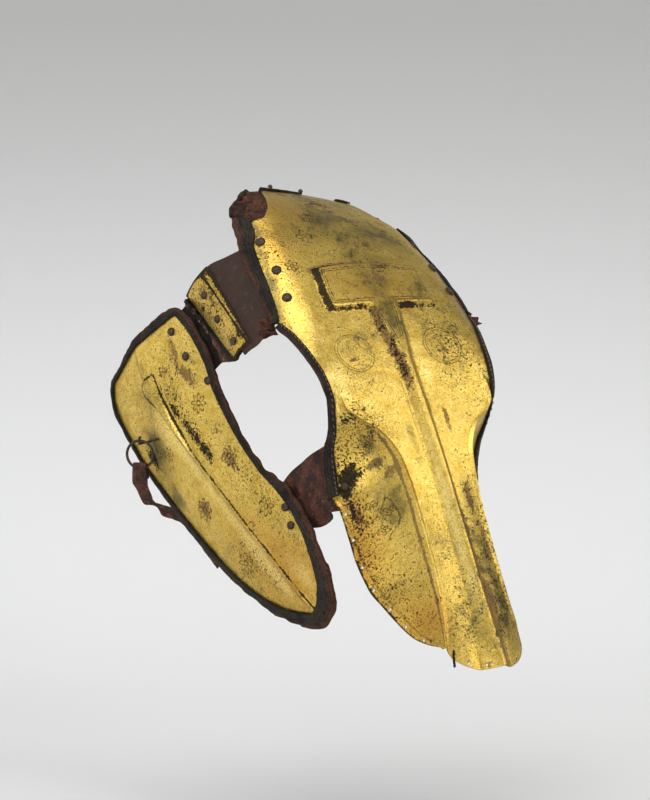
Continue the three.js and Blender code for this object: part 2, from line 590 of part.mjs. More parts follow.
// Sections of the cheek plate from its top edge to its tip: back and front rim and the ridge line,
// u as shares of CHEEK_LENGTH, v of CHEEK_WIDTH; how far the binding reaches past each rim, in mm.
const CHEEK_SECTIONS = [
  { f: 0, backU: -0.1, backV: -0.33, frontU: -0.045, frontV: 0.48, ridgeU: -0.1, ridgeV: 0.04, back: 5, front: 10 },
  { f: 0.09, backU: -0.05, backV: -0.44, frontU: 0.02, frontV: 0.5, ridgeU: -0.03, ridgeV: -0.02, back: 5, front: 9 },
  { f: 0.2, backU: 0.07, backV: -0.49, frontU: 0.13, frontV: 0.465, ridgeU: 0.09, ridgeV: -0.06, back: 5, front: 8 },
  { f: 0.3, backU: 0.165, backV: -0.505, frontU: 0.205, frontV: 0.385, ridgeU: 0.18, ridgeV: -0.05, back: 6, front: 8 },
  { f: 0.42, backU: 0.29, backV: -0.49, frontU: 0.3, frontV: 0.34, ridgeU: 0.29, ridgeV: -0.042, back: 8, front: 7 },
  { f: 0.52, backU: 0.395, backV: -0.47, frontU: 0.39, frontV: 0.31, ridgeU: 0.387, ridgeV: -0.036, back: 10, front: 5 },
  { f: 0.62, backU: 0.495, backV: -0.445, frontU: 0.487, frontV: 0.31, ridgeU: 0.487, ridgeV: -0.024, back: 10, front: 5 },
  { f: 0.72, backU: 0.592, backV: -0.405, frontU: 0.584, frontV: 0.345, ridgeU: 0.584, ridgeV: -0.012, back: 9, front: 12 },
  { f: 0.8, backU: 0.671, backV: -0.357, frontU: 0.658, frontV: 0.345, ridgeU: 0.663, ridgeV: -0.006, back: 9, front: 12 },
  { f: 0.88, backU: 0.75, backV: -0.28, frontU: 0.745, frontV: 0.29, ridgeU: 0.75, ridgeV: 0, back: 11, front: 13 },
  { f: 0.94, backU: 0.82, backV: -0.185, frontU: 0.818, frontV: 0.214, ridgeU: 0.824, ridgeV: 0.012, back: 13, front: 15 },
  { f: 0.985, backU: 0.873, backV: -0.065, frontU: 0.871, frontV: 0.13, ridgeU: 0.882, ridgeV: 0.016, back: 17, front: 19 },
  { f: 1, backU: 0.889, backV: -0.02, frontU: 0.889, frontV: 0.05, ridgeU: 0.893, ridgeV: 0.014, back: 20, front: 20 },
];
const cheekColumn = {};
for (const name of ['backU', 'backV', 'frontU', 'frontV', 'ridgeU', 'ridgeV', 'back', 'front']) {
  cheekColumn[name] = column(CHEEK_SECTIONS, 'f', name);
}
// A spot over the cheek plate, u and v as shares of its length and width, w in mm off it
function cheekShare(u, v, w) {
  return new THREE.Vector3(u * CHEEK_LENGTH, v * CHEEK_WIDTH, w);
}
const CHEEK_RIDGE_HEIGHT = 3.2;
const CHEEK_RIDGE_HALF = 7;
const BIND_LAP = 4; // the binding laps the gilt sheet by this much
const TIP_GAP = 1.3; // clearance of the binding round the cheek plate's narrow tip

// A point of the cheek plate's outer side in its own frame: f along, g from -1 back to 1 front
function cheekLocal(f, g) {
  const at = {};
  for (const [name, value] of Object.entries(cheekColumn)) at[name] = value(f);
  const rimU = g < 0 ? at.backU : at.frontU;
  const rimV = g < 0 ? at.backV : at.frontV;
  const share = Math.abs(g);
  const u = lerp(at.ridgeU, rimU, share) * CHEEK_LENGTH;
  const v = lerp(at.ridgeV, rimV, share) * CHEEK_WIDTH;
  const arm = Math.abs(rimV - at.ridgeV) * CHEEK_WIDTH;
  const fade = clamp01(f / 0.12) * clamp01((1 - f) / 0.05);
  const crest = CHEEK_RIDGE_HEIGHT * fade * clamp01(1 - (share * arm) / CHEEK_RIDGE_HALF);
  const along = Math.sin(Math.PI * clamp01(0.08 + f * 0.84));
  const w = CHEEK_DOME * along * (1 - share * share) + crest;
  return new THREE.Vector3(u, v, w);
}
const cheekTop = CHEEK_CORNER.clone();
cheekTop.addScaledVector(cheekAxes.u, -CHEEK_SECTIONS[0].frontU * CHEEK_LENGTH);
cheekTop.addScaledVector(cheekAxes.v, -CHEEK_SECTIONS[0].frontV * CHEEK_WIDTH);
function cheekPlace(local, sign) {
  const p = cheekTop.clone();
  p.addScaledVector(cheekAxes.u, local.x);
  p.addScaledVector(cheekAxes.v, local.y);
  p.addScaledVector(cheekAxes.w, local.z);
  return mirrored(p, -sign);
}
const CHEEK_ROWS = [0, 0.05, 0.1, 0.16, 0.22, 0.3, 0.38, 0.46, 0.54, 0.62, 0.7, 0.78, 0.86, 0.92, 0.97, 1];
const CHEEK_COLS = [-1, -0.75, -0.5, -0.25, -0.08, 0, 0.08, 0.25, 0.5, 0.75, 1];
function cheekRim() {
  const rim = CHEEK_ROWS.map((f) => [f, -1]);
  rim.push([1, 0]);
  for (const f of [...CHEEK_ROWS].reverse()) rim.push([f, 1]);
  for (const g of [0.5, 0, -0.5]) rim.push([0, g]);
  return rim;
}
// Direction out over the cheek plate's rim and off the sheet, at a spot of the rim
function cheekRimFrame(rim, i, sign) {
  const [f, g] = rim[i];
  const at = ([row, across]) => cheekPlace(cheekLocal(row, across), sign);
  const spot = at(rim[i]);
  const along = at(rim[(i + 1) % rim.length]).sub(at(rim[(i + rim.length - 1) % rim.length])).normalize();
  const inset = 0.08;
  const out = spot.clone().sub(at([lerp(f, 0.5, inset), g * (1 - inset)]));
  out.addScaledVector(along, -out.dot(along)).normalize();
  const off = new THREE.Vector3().crossVectors(along, out).normalize();
  if (off.dot(mirrored(cheekAxes.w, -sign)) < 0) off.negate();
  return { spot, out, off };
}
for (const { name, sign } of SIDES) {
  const grid = CHEEK_ROWS.map((f) => CHEEK_COLS.map((g) => cheekPlace(cheekLocal(f, g), sign)));
  const inward = mirrored(cheekAxes.w, -sign).negate();
  addPiece(`cheek_plate_${name}`, sheetGeometry(grid, CHEEK_WALL, inward), GILT);

  const rim = cheekRim();
  const frames = rim.map((_, i) => cheekRimFrame(rim, i, sign));
  const profile = (i) => {
    const [f, g] = rim[i];
    const reach = g < 0 ? cheekColumn.back(f) : cheekColumn.front(f);
    return foldedOver(BIND_LAP, reach, CHEEK_WALL, f > 0.9 ? TIP_GAP : FOLD_GAP);
  };
  addPiece(`cheek_binding_${name}`, sweepGeometry(frames, profile, true), DARK_LEATHER);
}

// Small plate between face plate and cheek plate
const LAME_CORNER = new THREE.Vector3(134.3, 175.2, 3.6); // lower back corner on the left side
const LAME_TURN = 88;
const LAME_TILT = -4;
const LAME_FALL = 31.1;
const lameAxes = plateAxes(LAME_TURN, LAME_TILT, LAME_FALL);
const LAME_SKEW = 14; // the upper edge starts this much further forward
const LAME_FRONT_SHARE = 0.7; // width at the front end, as a share of that at the back
function lameLocal(f, g) {
  const u = lerp(f * LAME_LENGTH, LAME_SKEW + f * LAME_LENGTH, g);
  const v = g * LAME_WIDTH * lerp(1, LAME_FRONT_SHARE, f);
  const w = LAME_DOME * 4 * g * (1 - g);
  return new THREE.Vector3(u, v, w);
}
function lamePlace(local, sign) {
  const p = LAME_CORNER.clone();
  p.addScaledVector(lameAxes.u, local.x);
  p.addScaledVector(lameAxes.v, local.y);
  p.addScaledVector(lameAxes.w, local.z);
  return mirrored(p, -sign);
}
for (const { name, sign } of SIDES) {
  const rows = [0, 0.25, 0.5, 0.75, 1];
  const grid = rows.map((f) => [0, 0.25, 0.5, 0.75, 1].map((g) => lamePlace(lameLocal(f, g), sign)));
  const inward = mirrored(lameAxes.w, -sign).negate();
  addPiece(`lame_${name}`, sheetGeometry(grid, LAME_WALL, inward), GILT);
}

// Smooth brown leather between the face plate's side binding and the small plate. Each row runs
// from the binding's outer end down behind the small plate's upper edge.
const LEATHER_ROWS = [0, 0.25, 0.5, 0.75, 1];
const PANEL_FROM = 0.38; // part of the side binding that the panel hangs from
const PANEL_TO = 0.98;
const RAGGED = 1.06; // the panel's torn front end passes the small plate's end
const UNDER = 0.9; // leather that passes behind a sheet lies this far behind it
for (const { name, sign } of SIDES) {
  const lameInner = (f, g) => {
    const local = lameLocal(f, g);
    local.z -= LAME_WALL + UNDER;
    return lamePlace(local, sign);
  };
  const grid = LEATHER_ROWS.map((f) => {
    const rim = lobeFrame(lerp(PANEL_FROM, PANEL_TO, f), sign);
    const start = rim.spot.clone().addScaledVector(rim.out, lobeReach(lerp(PANEL_FROM, PANEL_TO, f)) + LEATHER);
    start.addScaledVector(rim.off, -PLATE_WALL);
    const row = f * RAGGED;
    const edge = lameInner(row, 1.04);
    const between = start.clone().lerp(edge, 0.5);
    return [start, between, edge, lameInner(row, 0.75), lameInner(row, 0.5)];
  });
  const inward = mirrored(lameAxes.w, -sign).negate();
  addPiece(`upper_leather_${name}`, sheetGeometry(grid, LEATHER, inward), BROWN_LEATHER);
}

// Red-brown leather, folded once, from behind the small plate to behind the cheek plate's top edge
const FOLD_OUT = 4; // the fold stands out by this much
const CHEEK_TOP_SHARE = 0.24; // part of the cheek plate's front rim that the leather holds
const BEHIND_BINDING = FOLD_GAP + LEATHER + 1.6;
for (const { name, sign } of SIDES) {
  const grid = LEATHER_ROWS.map((f) => {
    const lameSpot = (g, w) => {
      const local = lameLocal(f, g);
      local.z += w;
      return lamePlace(local, sign);
    };
    const row = f * CHEEK_TOP_SHARE;
    const cheekSpot = (g, out) => {
      const local = cheekLocal(row, g);
      local.y += out;
      local.z -= CHEEK_WALL + BEHIND_BINDING + Math.max(out, 0) * 0.3;
      return cheekPlace(local, sign);
    };
    const under = -LAME_WALL - UNDER;
    const edge = lameSpot(-0.06, under);
    const rim = cheekSpot(1, cheekColumn.front(row) + 3);
    const fold = edge.clone().lerp(rim, 0.5).addScaledVector(mirrored(cheekAxes.w, -sign), FOLD_OUT);
    return [lameSpot(0.4, under), lameSpot(0.2, under), edge, fold, rim, cheekSpot(1, -6), cheekSpot(1, -16)];
  });
  const inward = mirrored(cheekAxes.w, -sign).negate();
  addPiece(`lame_leather_${name}`, sheetGeometry(grid, LEATHER, inward), RED_LEATHER);
}

// Crinkled leather seen in each ear notch: tucked under the notch's edge, open towards the ear
const EAR_EDGE = [
  { across: 0.97, tipAcross: 1.06, tipAt: -4 },
  { across: 1.12, tipAcross: 1.32, tipAt: 0 },
  { across: 1.3, tipAcross: 1.58, tipAt: 8 },
  { across: 1.5, tipAcross: 1.9, tipAt: 19 },
  { across: 1.75, tipAcross: 2.3, tipAt: 38 },
];
const EAR_TUCK = 7;
const EAR_SUNK = 6; // the lining's free edge lies this far inside the plate's run
const CRINKLE = 1.6;
for (const { name, sign } of SIDES) {
  const grid = EAR_EDGE.map((row, i) => {
    const s = plateRow(0, row.across);
    const behind = (more) => {
      const spot = plateSpot(s + more, row.across * sign);
      return spot.addScaledVector(plateOff(s + more, row.across * sign), -PLATE_WALL - UNDER - 2 * GAP);
    };
    const tip = plateSpot(row.tipAt, row.tipAcross * sign);
    tip.addScaledVector(plateOff(row.tipAt, row.tipAcross * sign), -EAR_SUNK);
    const crease = (share) => {
      const wave = (i % 2 === 0 ? 1 : -1) * CRINKLE;
      return behind(-1).lerp(tip, share).add(new THREE.Vector3(0, 0, wave - CRINKLE));
    };
    return [behind(EAR_TUCK), behind(-1), crease(0.33), crease(0.67), tip];
  });
  addPiece(`ear_lining_${name}`, sheetGeometry(grid, LEATHER, new THREE.Vector3(0, 0, -1)), RED_LEATHER);
}

// Strap loop between the face plate's rim and the cheek plate's front edge, folded at its lower
// side. Upper and lower edge of the strap where it lies behind the cheek plate, in that plate's frame.
const LOOP_ROWS = [
  { v: 0.512, w: -9, upper: 0.56, lower: 0.695, flap: 0.047 },
  { v: 0.417, w: -9, upper: 0.555, lower: 0.679, flap: 0.047 },
  { v: 0.298, w: -4.2, upper: 0.558, lower: 0.679, flap: 0.016 },
  { v: 0.226, w: -1, upper: 0.56, lower: 0.676, flap: 0.008 },
];
const LOOP_PLATE_UPPER = 0.558; // the strap's edges on the face plate, shares of PLATE_LENGTH
const LOOP_PLATE_LOWER = 0.645;
const LOOP_PLATE_FLAP = 0.65;
for (const { name, sign } of SIDES) {
  const onPlate = (across, depth, out) =>
    [LOOP_PLATE_UPPER, (LOOP_PLATE_UPPER + LOOP_PLATE_LOWER) / 2, LOOP_PLATE_LOWER, LOOP_PLATE_FLAP].map((share) => {
      const s = share * PLATE_LENGTH;
      const rim = rimFrame(s, sign);
      const spot = plateSpot(s, across * sign).addScaledVector(plateOff(s, across * sign), -depth);
      return spot.addScaledVector(rim.out, out);
    });
  const onCheek = LOOP_ROWS.map(({ v, w, upper, lower, flap }) => [
    cheekPlace(cheekShare(upper, v, w), sign),
    cheekPlace(cheekShare((upper + lower) / 2, v, w + 1), sign),
    cheekPlace(cheekShare(lower, v, w), sign),
    cheekPlace(cheekShare(lower + flap, v - flap, w - LEATHER * flap * 60), sign),
  ]);
  const behindBinding = PLATE_WALL + FOLD_GAP + LEATHER + 2 * UNDER;
  const grid = [onPlate(1.7, PLATE_WALL + 2.5 * UNDER, 0), onPlate(1.84, behindBinding, 0), onPlate(2, behindBinding + 1, 8)];
  grid.push(...onCheek);
  const inward = mirrored(cheekAxes.w, -sign).negate();
  addPiece(`strap_loop_${name}`, sheetGeometry(grid, LEATHER, inward), RED_LEATHER);
}

// Where a spot of the cheek plate, given as shares of its length and width, lies on the sheet
function cheekOn(u, v, sign) {
  let f = clamp01(u + 0.1);
  let g = 0;
  for (let i = 0; i < 30; i += 1) {
    const ridgeV = cheekColumn.ridgeV(f);
    const rimV = v > ridgeV ? cheekColumn.frontV(f) : cheekColumn.backV(f);
    g = ((v - ridgeV) / (rimV - ridgeV)) * (v > ridgeV ? 1 : -1);
    f = clamp01(f + (u - cheekLocal(f, g).x / CHEEK_LENGTH) * 0.8);
  }
  const spot = cheekPlace(cheekLocal(f, g), sign);
  const along = cheekPlace(cheekLocal(f + 0.01, g), sign).sub(spot);
  const across = cheekPlace(cheekLocal(f, g + 0.05), sign).sub(spot);
  const off = new THREE.Vector3().crossVectors(along, across).normalize();
  if (off.dot(mirrored(cheekAxes.w, -sign)) < 0) off.negate();
  return { spot, off };
}

// A round bar along a path
function rodGeometry(path, radius, sides) {
  const frames = [];
  let out = new THREE.Vector3();
  path.forEach((spot, i) => {
    const along = path[Math.min(i + 1, path.length - 1)].clone().sub(path[Math.max(i - 1, 0)]).normalize();
    if (i === 0) out = Math.abs(along.z) > 0.8 ? new THREE.Vector3(1, 0, 0) : new THREE.Vector3(0, 0, 1);
    out = out.clone().addScaledVector(along, -out.dot(along)).normalize();
    frames.push({ spot, out, off: new THREE.Vector3().crossVectors(along, out) });
  });
  return sweepGeometry(frames, () => roundProfile(radius, sides), false);
}
function roundProfile(radius, sides) {
  return Array.from({ length: sides }, (_, k) => {
    const turn = (k / sides) * Math.PI * 2;
    return [radius * Math.cos(turn), radius * Math.sin(turn)];
  });
}

// Iron ring that hangs at the cheek plate's back edge, and the hook that holds it
const RING_AT = cheekShare(0.1395, -0.399, 15);
const RING_TURN = THREE.MathUtils.degToRad(50);
const ringCentre = cheekPlace(RING_AT, 1);
const ringSide = new THREE.Vector3(Math.cos(RING_TURN), Math.sin(RING_TURN), 0);
const ringOff = new THREE.Vector3(Math.sin(RING_TURN), -Math.cos(RING_TURN), 0);
function ringSpot(side, up, off) {
  return ringCentre.clone().addScaledVector(ringSide, side).addScaledVector(UP, up).addScaledVector(ringOff, off);
}
const HOOK_R = 1.3;
const RING_STEPS = 20;
for (const { name, sign } of SIDES) {
  const frames = Array.from({ length: RING_STEPS }, (_, k) => {
    const turn = (k / RING_STEPS) * Math.PI * 2;
    const out = ringSide.clone().multiplyScalar(Math.cos(turn)).addScaledVector(UP, Math.sin(turn));
    const spot = ringCentre.clone().addScaledVector(out, RING_R);
    return { spot: mirrored(spot, -sign), out: mirrored(out, -sign), off: mirrored(ringOff, -sign) };
  });
  addPiece(`ring_${name}`, sweepGeometry(frames, () => roundProfile(RING_WIRE, 6), true), IRON);

  const foot = cheekOn(0.147, -0.238, 1);
  const knee = cheekOn(0.132, -0.298, 1);
  const above = HOOK_R + 2 * GAP;
  const wire = RING_WIRE + HOOK_R + 2 * GAP;
  const path = [
    foot.spot.clone().addScaledVector(foot.off, above),
    knee.spot.clone().addScaledVector(knee.off, above),
    ringSpot(0, RING_R - wire, -wire * 1.2),
    ringSpot(0, RING_R - wire, wire * 0.6),
    ringSpot(0, RING_R, wire * 1.1),
    ringSpot(0, RING_R + wire, wire * 0.5),
    ringSpot(0, RING_R + wire, -wire * 0.6),
  ].map((spot) => mirrored(spot, -sign));
  addPiece(`staple_${name}`, rodGeometry(path, HOOK_R, 6), IRON);
}

// Torn strap folded over the bottom of the ring; its long end goes down behind the cheek plate's
// back edge. Width of the strap and how it lies, from its short end on.
for (const { name, sign } of SIDES) {
  const wide = 16;
  const inside = RING_R - RING_WIRE - 3.4;
  const clear = RING_WIRE + LEATHER / 2 + 0.7;
  const local = (u, v, w) => cheekPlace(cheekShare(u, v, w), 1);
  const downCheek = cheekAxes.v.clone();
  const stations = [
    { spot: ringSpot(0, -RING_R - 12, -clear - 0.5), out: ringSide, width: wide },
    { spot: ringSpot(0, -RING_R, -clear), out: ringSide, width: wide },
    { spot: ringSpot(0, -inside, -clear * 0.75), out: ringSide, width: wide },
    { spot: ringSpot(0, -inside + 1.2, 0), out: ringSide, width: wide },
    { spot: ringSpot(0, -inside, clear * 0.75), out: ringSide, width: wide },
    { spot: ringSpot(0, -RING_R, clear), out: ringSide, width: wide },
    { spot: ringSpot(-1, -RING_R - 15, clear), out: ringSide, width: wide },
    { spot: local(0.232, -0.643, 4), out: ringSide, width: 11 },
    { spot: local(0.274, -0.631, -6), out: downCheek, width: 12 },
    { spot: local(0.332, -0.542, -11), out: downCheek, width: 15 },
    { spot: local(0.395, -0.524, -11), out: downCheek, width: 15 },
    { spot: local(0.526, -0.506, -11), out: downCheek, width: 15 },
  ];
  const frames = stations.map(({ spot, out }, i) => {
    const before = stations[Math.max(i - 1, 0)].spot;
    const after = stations[Math.min(i + 1, stations.length - 1)].spot;
    const along = after.clone().sub(before).normalize();
    const across = out.clone().addScaledVector(along, -out.dot(along)).normalize();
    const off = new THREE.Vector3().crossVectors(along, across);
    return { spot: mirrored(spot, -sign), out: mirrored(across, -sign), off: mirrored(off, -sign) };
  });
  const profile = (i) => {
    const half = stations[i].width / 2;
    const thick = LEATHER / 2;
    return [[-half, -thick], [-half, thick], [half, thick], [half, -thick]];
  };
  addPiece(`throat_strap_${name}`, sweepGeometry(frames, profile, false), RED_LEATHER);
}

// Black thong left at the nose corner
{
  const at = (s, across, off) => plateSpot(s, across).addScaledVector(plateOff(s, across), off);
  const path = [
    at(592, -0.86, 2),
    at(599, -0.9, 2.6),
    at(607, -0.92, 1.5),
    at(608, -0.92, -3),
    at(600, -0.9, -4),
    at(592, -0.88, -3.6),
  ];
  addPiece('nose_lacing', rodGeometry(path, 1.2, 6), DARK_LEATHER);
}

// A round rivet head seated on a sheet
function rivet(name, spot, off, radius = RIVET_R, lift = GAP) {
  const profile = [
    new THREE.Vector2(0, 0),
    new THREE.Vector2(radius, 0),
    new THREE.Vector2(radius * 0.92, RIVET_HEIGHT * 0.45),
    new THREE.Vector2(radius * 0.55, RIVET_HEIGHT * 0.9),
    new THREE.Vector2(0, RIVET_HEIGHT),
  ];
  const head = mergeVertices(new THREE.LatheGeometry(profile, 8));
  head.applyQuaternion(new THREE.Quaternion().setFromUnitVectors(new THREE.Vector3(0, 1, 0), off));
  const seat = spot.clone().addScaledVector(off, lift);
  head.translate(seat.x, seat.y, seat.z);
  addPiece(name, head, IRON);
}


// Share across the face plate at which its side panel lies x out from the middle line
function acrossAt(s, x) {
  let low = 0;
  let high = 2;
  for (let i = 0; i < 30; i += 1) {
    const half = (low + high) / 2;
    const run = s / PLATE_LENGTH;
    const turned = plateSpot(s, half).x / Math.cos(THREE.MathUtils.degToRad(section.sprung(run)));
    if (turned < x) low = half;
    else high = half;
  }
  return (low + high) / 2;
}

// Rivets: on the brow's sides, for the strap loops, on the small plates and on the cheek plates
const BROW_RIVETS = [
  { run: 0.1565, out: 0.8305 },
  { run: 0.2258, out: 0.8356 },
  { run: 0.2871, out: 0.864 },
];
const STRAP_RIVET = { run: 0.621, out: 0.665 };
const HOLLOW_LIFT = 1.2; // a flat rivet head stands this far off the hollow flare
const LAME_RIVETS = [
  { f: 0.22, g: 0.53 },
  { f: 0.54, g: 0.46 },
  { f: 0.87, g: 0.52 },
];
const ON_LEATHER = FOLD_GAP + LEATHER + GAP; // seat of a rivet that goes through the binding
const CHEEK_RIVETS = [
  { u: -0.0174, v: 0.366, lift: GAP },
  { u: 0.0705, v: 0.35, lift: GAP },
  { u: 0.18, v: 0.39, lift: ON_LEATHER },
  { u: 0.625, v: 0.3155, lift: ON_LEATHER },
  { u: 0.671, v: 0.265, lift: GAP },
];
for (const { name, sign } of SIDES) {
  [...BROW_RIVETS, STRAP_RIVET].forEach(({ run, out }, i) => {
    const s = run * PLATE_LENGTH;
    const across = acrossAt(s, out * BROW_HALF) * sign;
    const label = i < BROW_RIVETS.length ? `brow_rivet_${i + 1}_${name}` : `strap_rivet_${name}`;
    const lift = run === STRAP_RIVET.run ? HOLLOW_LIFT : GAP;
    rivet(label, plateSpot(s, across), plateOff(s, across), lift > GAP ? RIVET_R - 0.8 : RIVET_R, lift);
  });
  LAME_RIVETS.forEach(({ f, g }, i) => {
    const spot = lamePlace(lameLocal(f, g), sign);
    const along = lamePlace(lameLocal(f + 0.01, g), sign).sub(spot);
    const across = lamePlace(lameLocal(f, g + 0.01), sign).sub(spot);
    const off = new THREE.Vector3().crossVectors(along, across).normalize();
    if (off.dot(mirrored(lameAxes.w, -sign)) < 0) off.negate();
    rivet(`lame_rivet_${i + 1}_${name}`, spot, off, 4.6);
  });
  CHEEK_RIVETS.forEach(({ u, v, lift }, i) => {
    const { spot, off } = cheekOn(u, v, sign);
    rivet(`cheek_rivet_${i + 1}_${name}`, spot, off, 4.6, lift);
  });
}
[-0.66, 0].forEach((across, i) => {
  const { spot, off, out } = pollFrame(across);
  const top = FOLD_GAP + LEATHER;
  rivet(`poll_rivet_${i + 1}`, spot.clone().addScaledVector(off, top).addScaledVector(out, -1), off, 2.6);
});

export default armour;
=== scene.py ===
import math

import bpy
import numpy as np
from mathutils import Matrix, Vector


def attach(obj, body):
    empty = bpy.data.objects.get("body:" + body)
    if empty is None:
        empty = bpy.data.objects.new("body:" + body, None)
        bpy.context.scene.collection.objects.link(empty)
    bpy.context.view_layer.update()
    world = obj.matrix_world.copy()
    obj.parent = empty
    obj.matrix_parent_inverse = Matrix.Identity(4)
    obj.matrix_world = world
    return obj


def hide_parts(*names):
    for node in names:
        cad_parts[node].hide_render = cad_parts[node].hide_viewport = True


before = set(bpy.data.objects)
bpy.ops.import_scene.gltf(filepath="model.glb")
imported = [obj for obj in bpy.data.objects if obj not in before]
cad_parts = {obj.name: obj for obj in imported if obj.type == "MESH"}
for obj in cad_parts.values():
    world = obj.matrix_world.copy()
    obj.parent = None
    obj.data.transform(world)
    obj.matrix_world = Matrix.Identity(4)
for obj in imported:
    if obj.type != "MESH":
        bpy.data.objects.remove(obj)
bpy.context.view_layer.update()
MM = 0.001

# The place where it is shown: the armour hangs in front of a pale wall that runs down into a pale
# floor in one sweep. It is seen from its own right front, a little from above.
CAMERA_BACK = Vector((-0.5274, -0.8440, 0.0976)).normalized()
CAMERA_TARGET = Vector((0, 0.1099, -0.1096))
CAMERA_AWAY = 4.25
CAMERA_LENS = 177.86
camera_side = Vector((0, 0, 1)).cross(CAMERA_BACK).normalized()
camera_up = CAMERA_BACK.cross(camera_side)
camera = bpy.data.objects.new("camera", bpy.data.cameras.new("camera"))
camera.data.lens = CAMERA_LENS
camera.data.clip_end = 30
camera_axes = Matrix((camera_side, camera_up, CAMERA_BACK)).transposed().to_4x4()
camera.matrix_world = Matrix.Translation(CAMERA_TARGET + CAMERA_BACK * CAMERA_AWAY) @ camera_axes
bpy.context.scene.collection.objects.link(camera)
bpy.context.scene.camera = camera

room_light = bpy.data.worlds.new("room")
room_light.use_nodes = True
room_light.node_tree.nodes["Background"].inputs["Color"].default_value = (0.9, 0.93, 0.97, 1)
room_light.node_tree.nodes["Background"].inputs["Strength"].default_value = 0.58
bpy.context.scene.world = room_light
bpy.context.scene.view_settings.view_transform = "Standard"


def soft_light(name, place, size, watts, colour):
    """A square lamp at a place in metres, turned to the armour."""
    lamp = bpy.data.objects.new(name, bpy.data.lights.new(name, "AREA"))
    lamp.data.size = size
    lamp.data.energy = watts
    lamp.data.color = colour
    lamp.location = place
    toward = Vector((0, 0.1, -0.1)) - Vector(place)
    lamp.rotation_euler = toward.to_track_quat("-Z", "Y").to_euler()
    bpy.context.scene.collection.objects.link(lamp)


soft_light("window", (0.5, -2.9, 1.0), 1.2, 18, (1, 0.98, 0.95))
soft_light("key", (1.6, -1.6, 1.85), 0.7, 11, (1, 0.98, 0.95))
soft_light("overhead", (-0.9, -0.5, 2.6), 2.0, 42, (1, 0.99, 0.97))
soft_light("side_fill", (-2.8, -1.2, -0.2), 1.4, 22, (0.97, 0.98, 1))
soft_light("side_back", (-2.4, 2.0, -0.3), 2.2, 12, (1, 0.99, 0.97))
soft_light("back_fill", (0.8, 2.4, 1.4), 2.4, 30, (1, 1, 1))


class Outlet:
    """A node's outlet that is reckoned with like a number: +, - and * each add a Math node."""

    def __init__(self, finish, socket):
        self.finish, self.socket = finish, socket

    def __add__(self, other):
        return self.finish.math("ADD", self, other)

    def __sub__(self, other):
        return self.finish.math("SUBTRACT", self, other)

    def __rsub__(self, other):
        return self.finish.math("SUBTRACT", other, self)

    def __mul__(self, other):
        return self.finish.math("MULTIPLY", self, other)

    def swing(self, amount):
        """A noise value turned to run evenly about nothing, amount to both sides."""
        return (self - 0.5) * (2 * amount)


class Finish:
    """A material being made: each method adds a node and gives back its outlet."""

    def __init__(self, name):
        self.slot = name
        self.material = bpy.data.materials.new(name)
        self.material.use_nodes = True
        self.nodes = self.material.node_tree.nodes
        self.shader = self.nodes["Principled BSDF"]

    def feed(self, inlet, value):
        if isinstance(value, Outlet):
            self.material.node_tree.links.new(value.socket, inlet)
        elif isinstance(value, tuple) and inlet.type == "RGBA":
            inlet.default_value = (*value, 1)
        else:
            inlet.default_value = value

    def node(self, kind, inlets, outlet=0, **settings):
        node = self.nodes.new("ShaderNode" + kind)
        for key, value in settings.items():
            setattr(node, key, value)
        for key, value in inlets.items():
            self.feed(node.inputs[key], value)
        return Outlet(self, node.outputs[outlet])

    def math(self, work, *values):
        return self.node("Math", dict(enumerate(values)), operation=work)

    def mark(self, name):
        """The three values that a piece carries under this name."""
        return self.split(self.node("Attribute", {}, "Vector", attribute_name=name))

    def split(self, vector):
        return [self.node("SeparateXYZ", {0: vector}, outlet) for outlet in range(3)]

    def place(self, stretch=(1, 1, 1)):
        """Place on the piece in metres, stretched along X, Y and Z."""
        return self.node("Mapping", {"Vector": self.node("TexCoord", {}, "Object"), "Scale": stretch})

    def noise(self, place, scale, detail=3.0, rough=0.55, bent=0.0):
        inlets = {"Vector": place, "Scale": scale, "Detail": detail, "Roughness": rough, "Distortion": bent}
        return self.node("TexNoise", inlets)

    def cells(self, place, scale):
        """Distance to the nearest border between cells."""
        inlets = {"Vector": place, "Scale": scale}
        return self.node("TexVoronoi", inlets, "Distance", feature="DISTANCE_TO_EDGE")

    def step(self, value, low, high):
        """0 below low, 1 above high, smooth between; falls where high is under low."""
        inlets = {0: value, 1: low, 2: high, 3: 0.0, 4: 1.0}
        return self.node("MapRange", inlets, interpolation_type="SMOOTHSTEP")

    def mix(self, share, a, b):
        """Colour a where share is 0, b where it is 1: the node's colours come after its numbers."""
        return self.node("Mix", {0: share, 6: a, 7: b}, 2, data_type="RGBA")

    def line(self, value, at, half):
        """1 where value is at the given figure, falling to 0 at half a width beside it."""
        return self.step(self.math("ABSOLUTE", value - at), half, half * 0.35)

    def any(self, *shares):
        """The largest of the shares."""
        total = shares[0]
        for share in shares[1:]:
            total = self.math("MAXIMUM", total, share)
        return total

    def surface(self, colour, rough, height=None, depth=0.0, metal=0.0, gloss=0.5):
        """Sets colour, roughness, metal and gloss; height times depth in metres becomes the relief."""
        self.feed(self.shader.inputs["Base Color"], colour)
        self.feed(self.shader.inputs["Roughness"], rough)
        self.feed(self.shader.inputs["Metallic"], metal)
        self.shader.inputs["Specular IOR Level"].default_value = gloss
        if height is not None:
            relief = self.node("Bump", {"Height": height, "Distance": depth, "Strength": 1.0})
            self.feed(self.shader.inputs["Normal"], relief)


# The backdrop paper is painted darker high up and paler down on the floor: a painted light gradient.
PAPER_SHADED_TOP, PAPER_LIT_BOTTOM = (0.39, 0.39, 0.38), (0.84, 0.84, 0.83)
paper = Finish("pale_paper")
paper_height = paper.split(paper.place())[2]
paper.surface(paper.mix(paper.step(paper_height, 0.5, -0.6), PAPER_SHADED_TOP, PAPER_LIT_BOTTOM), 0.9)


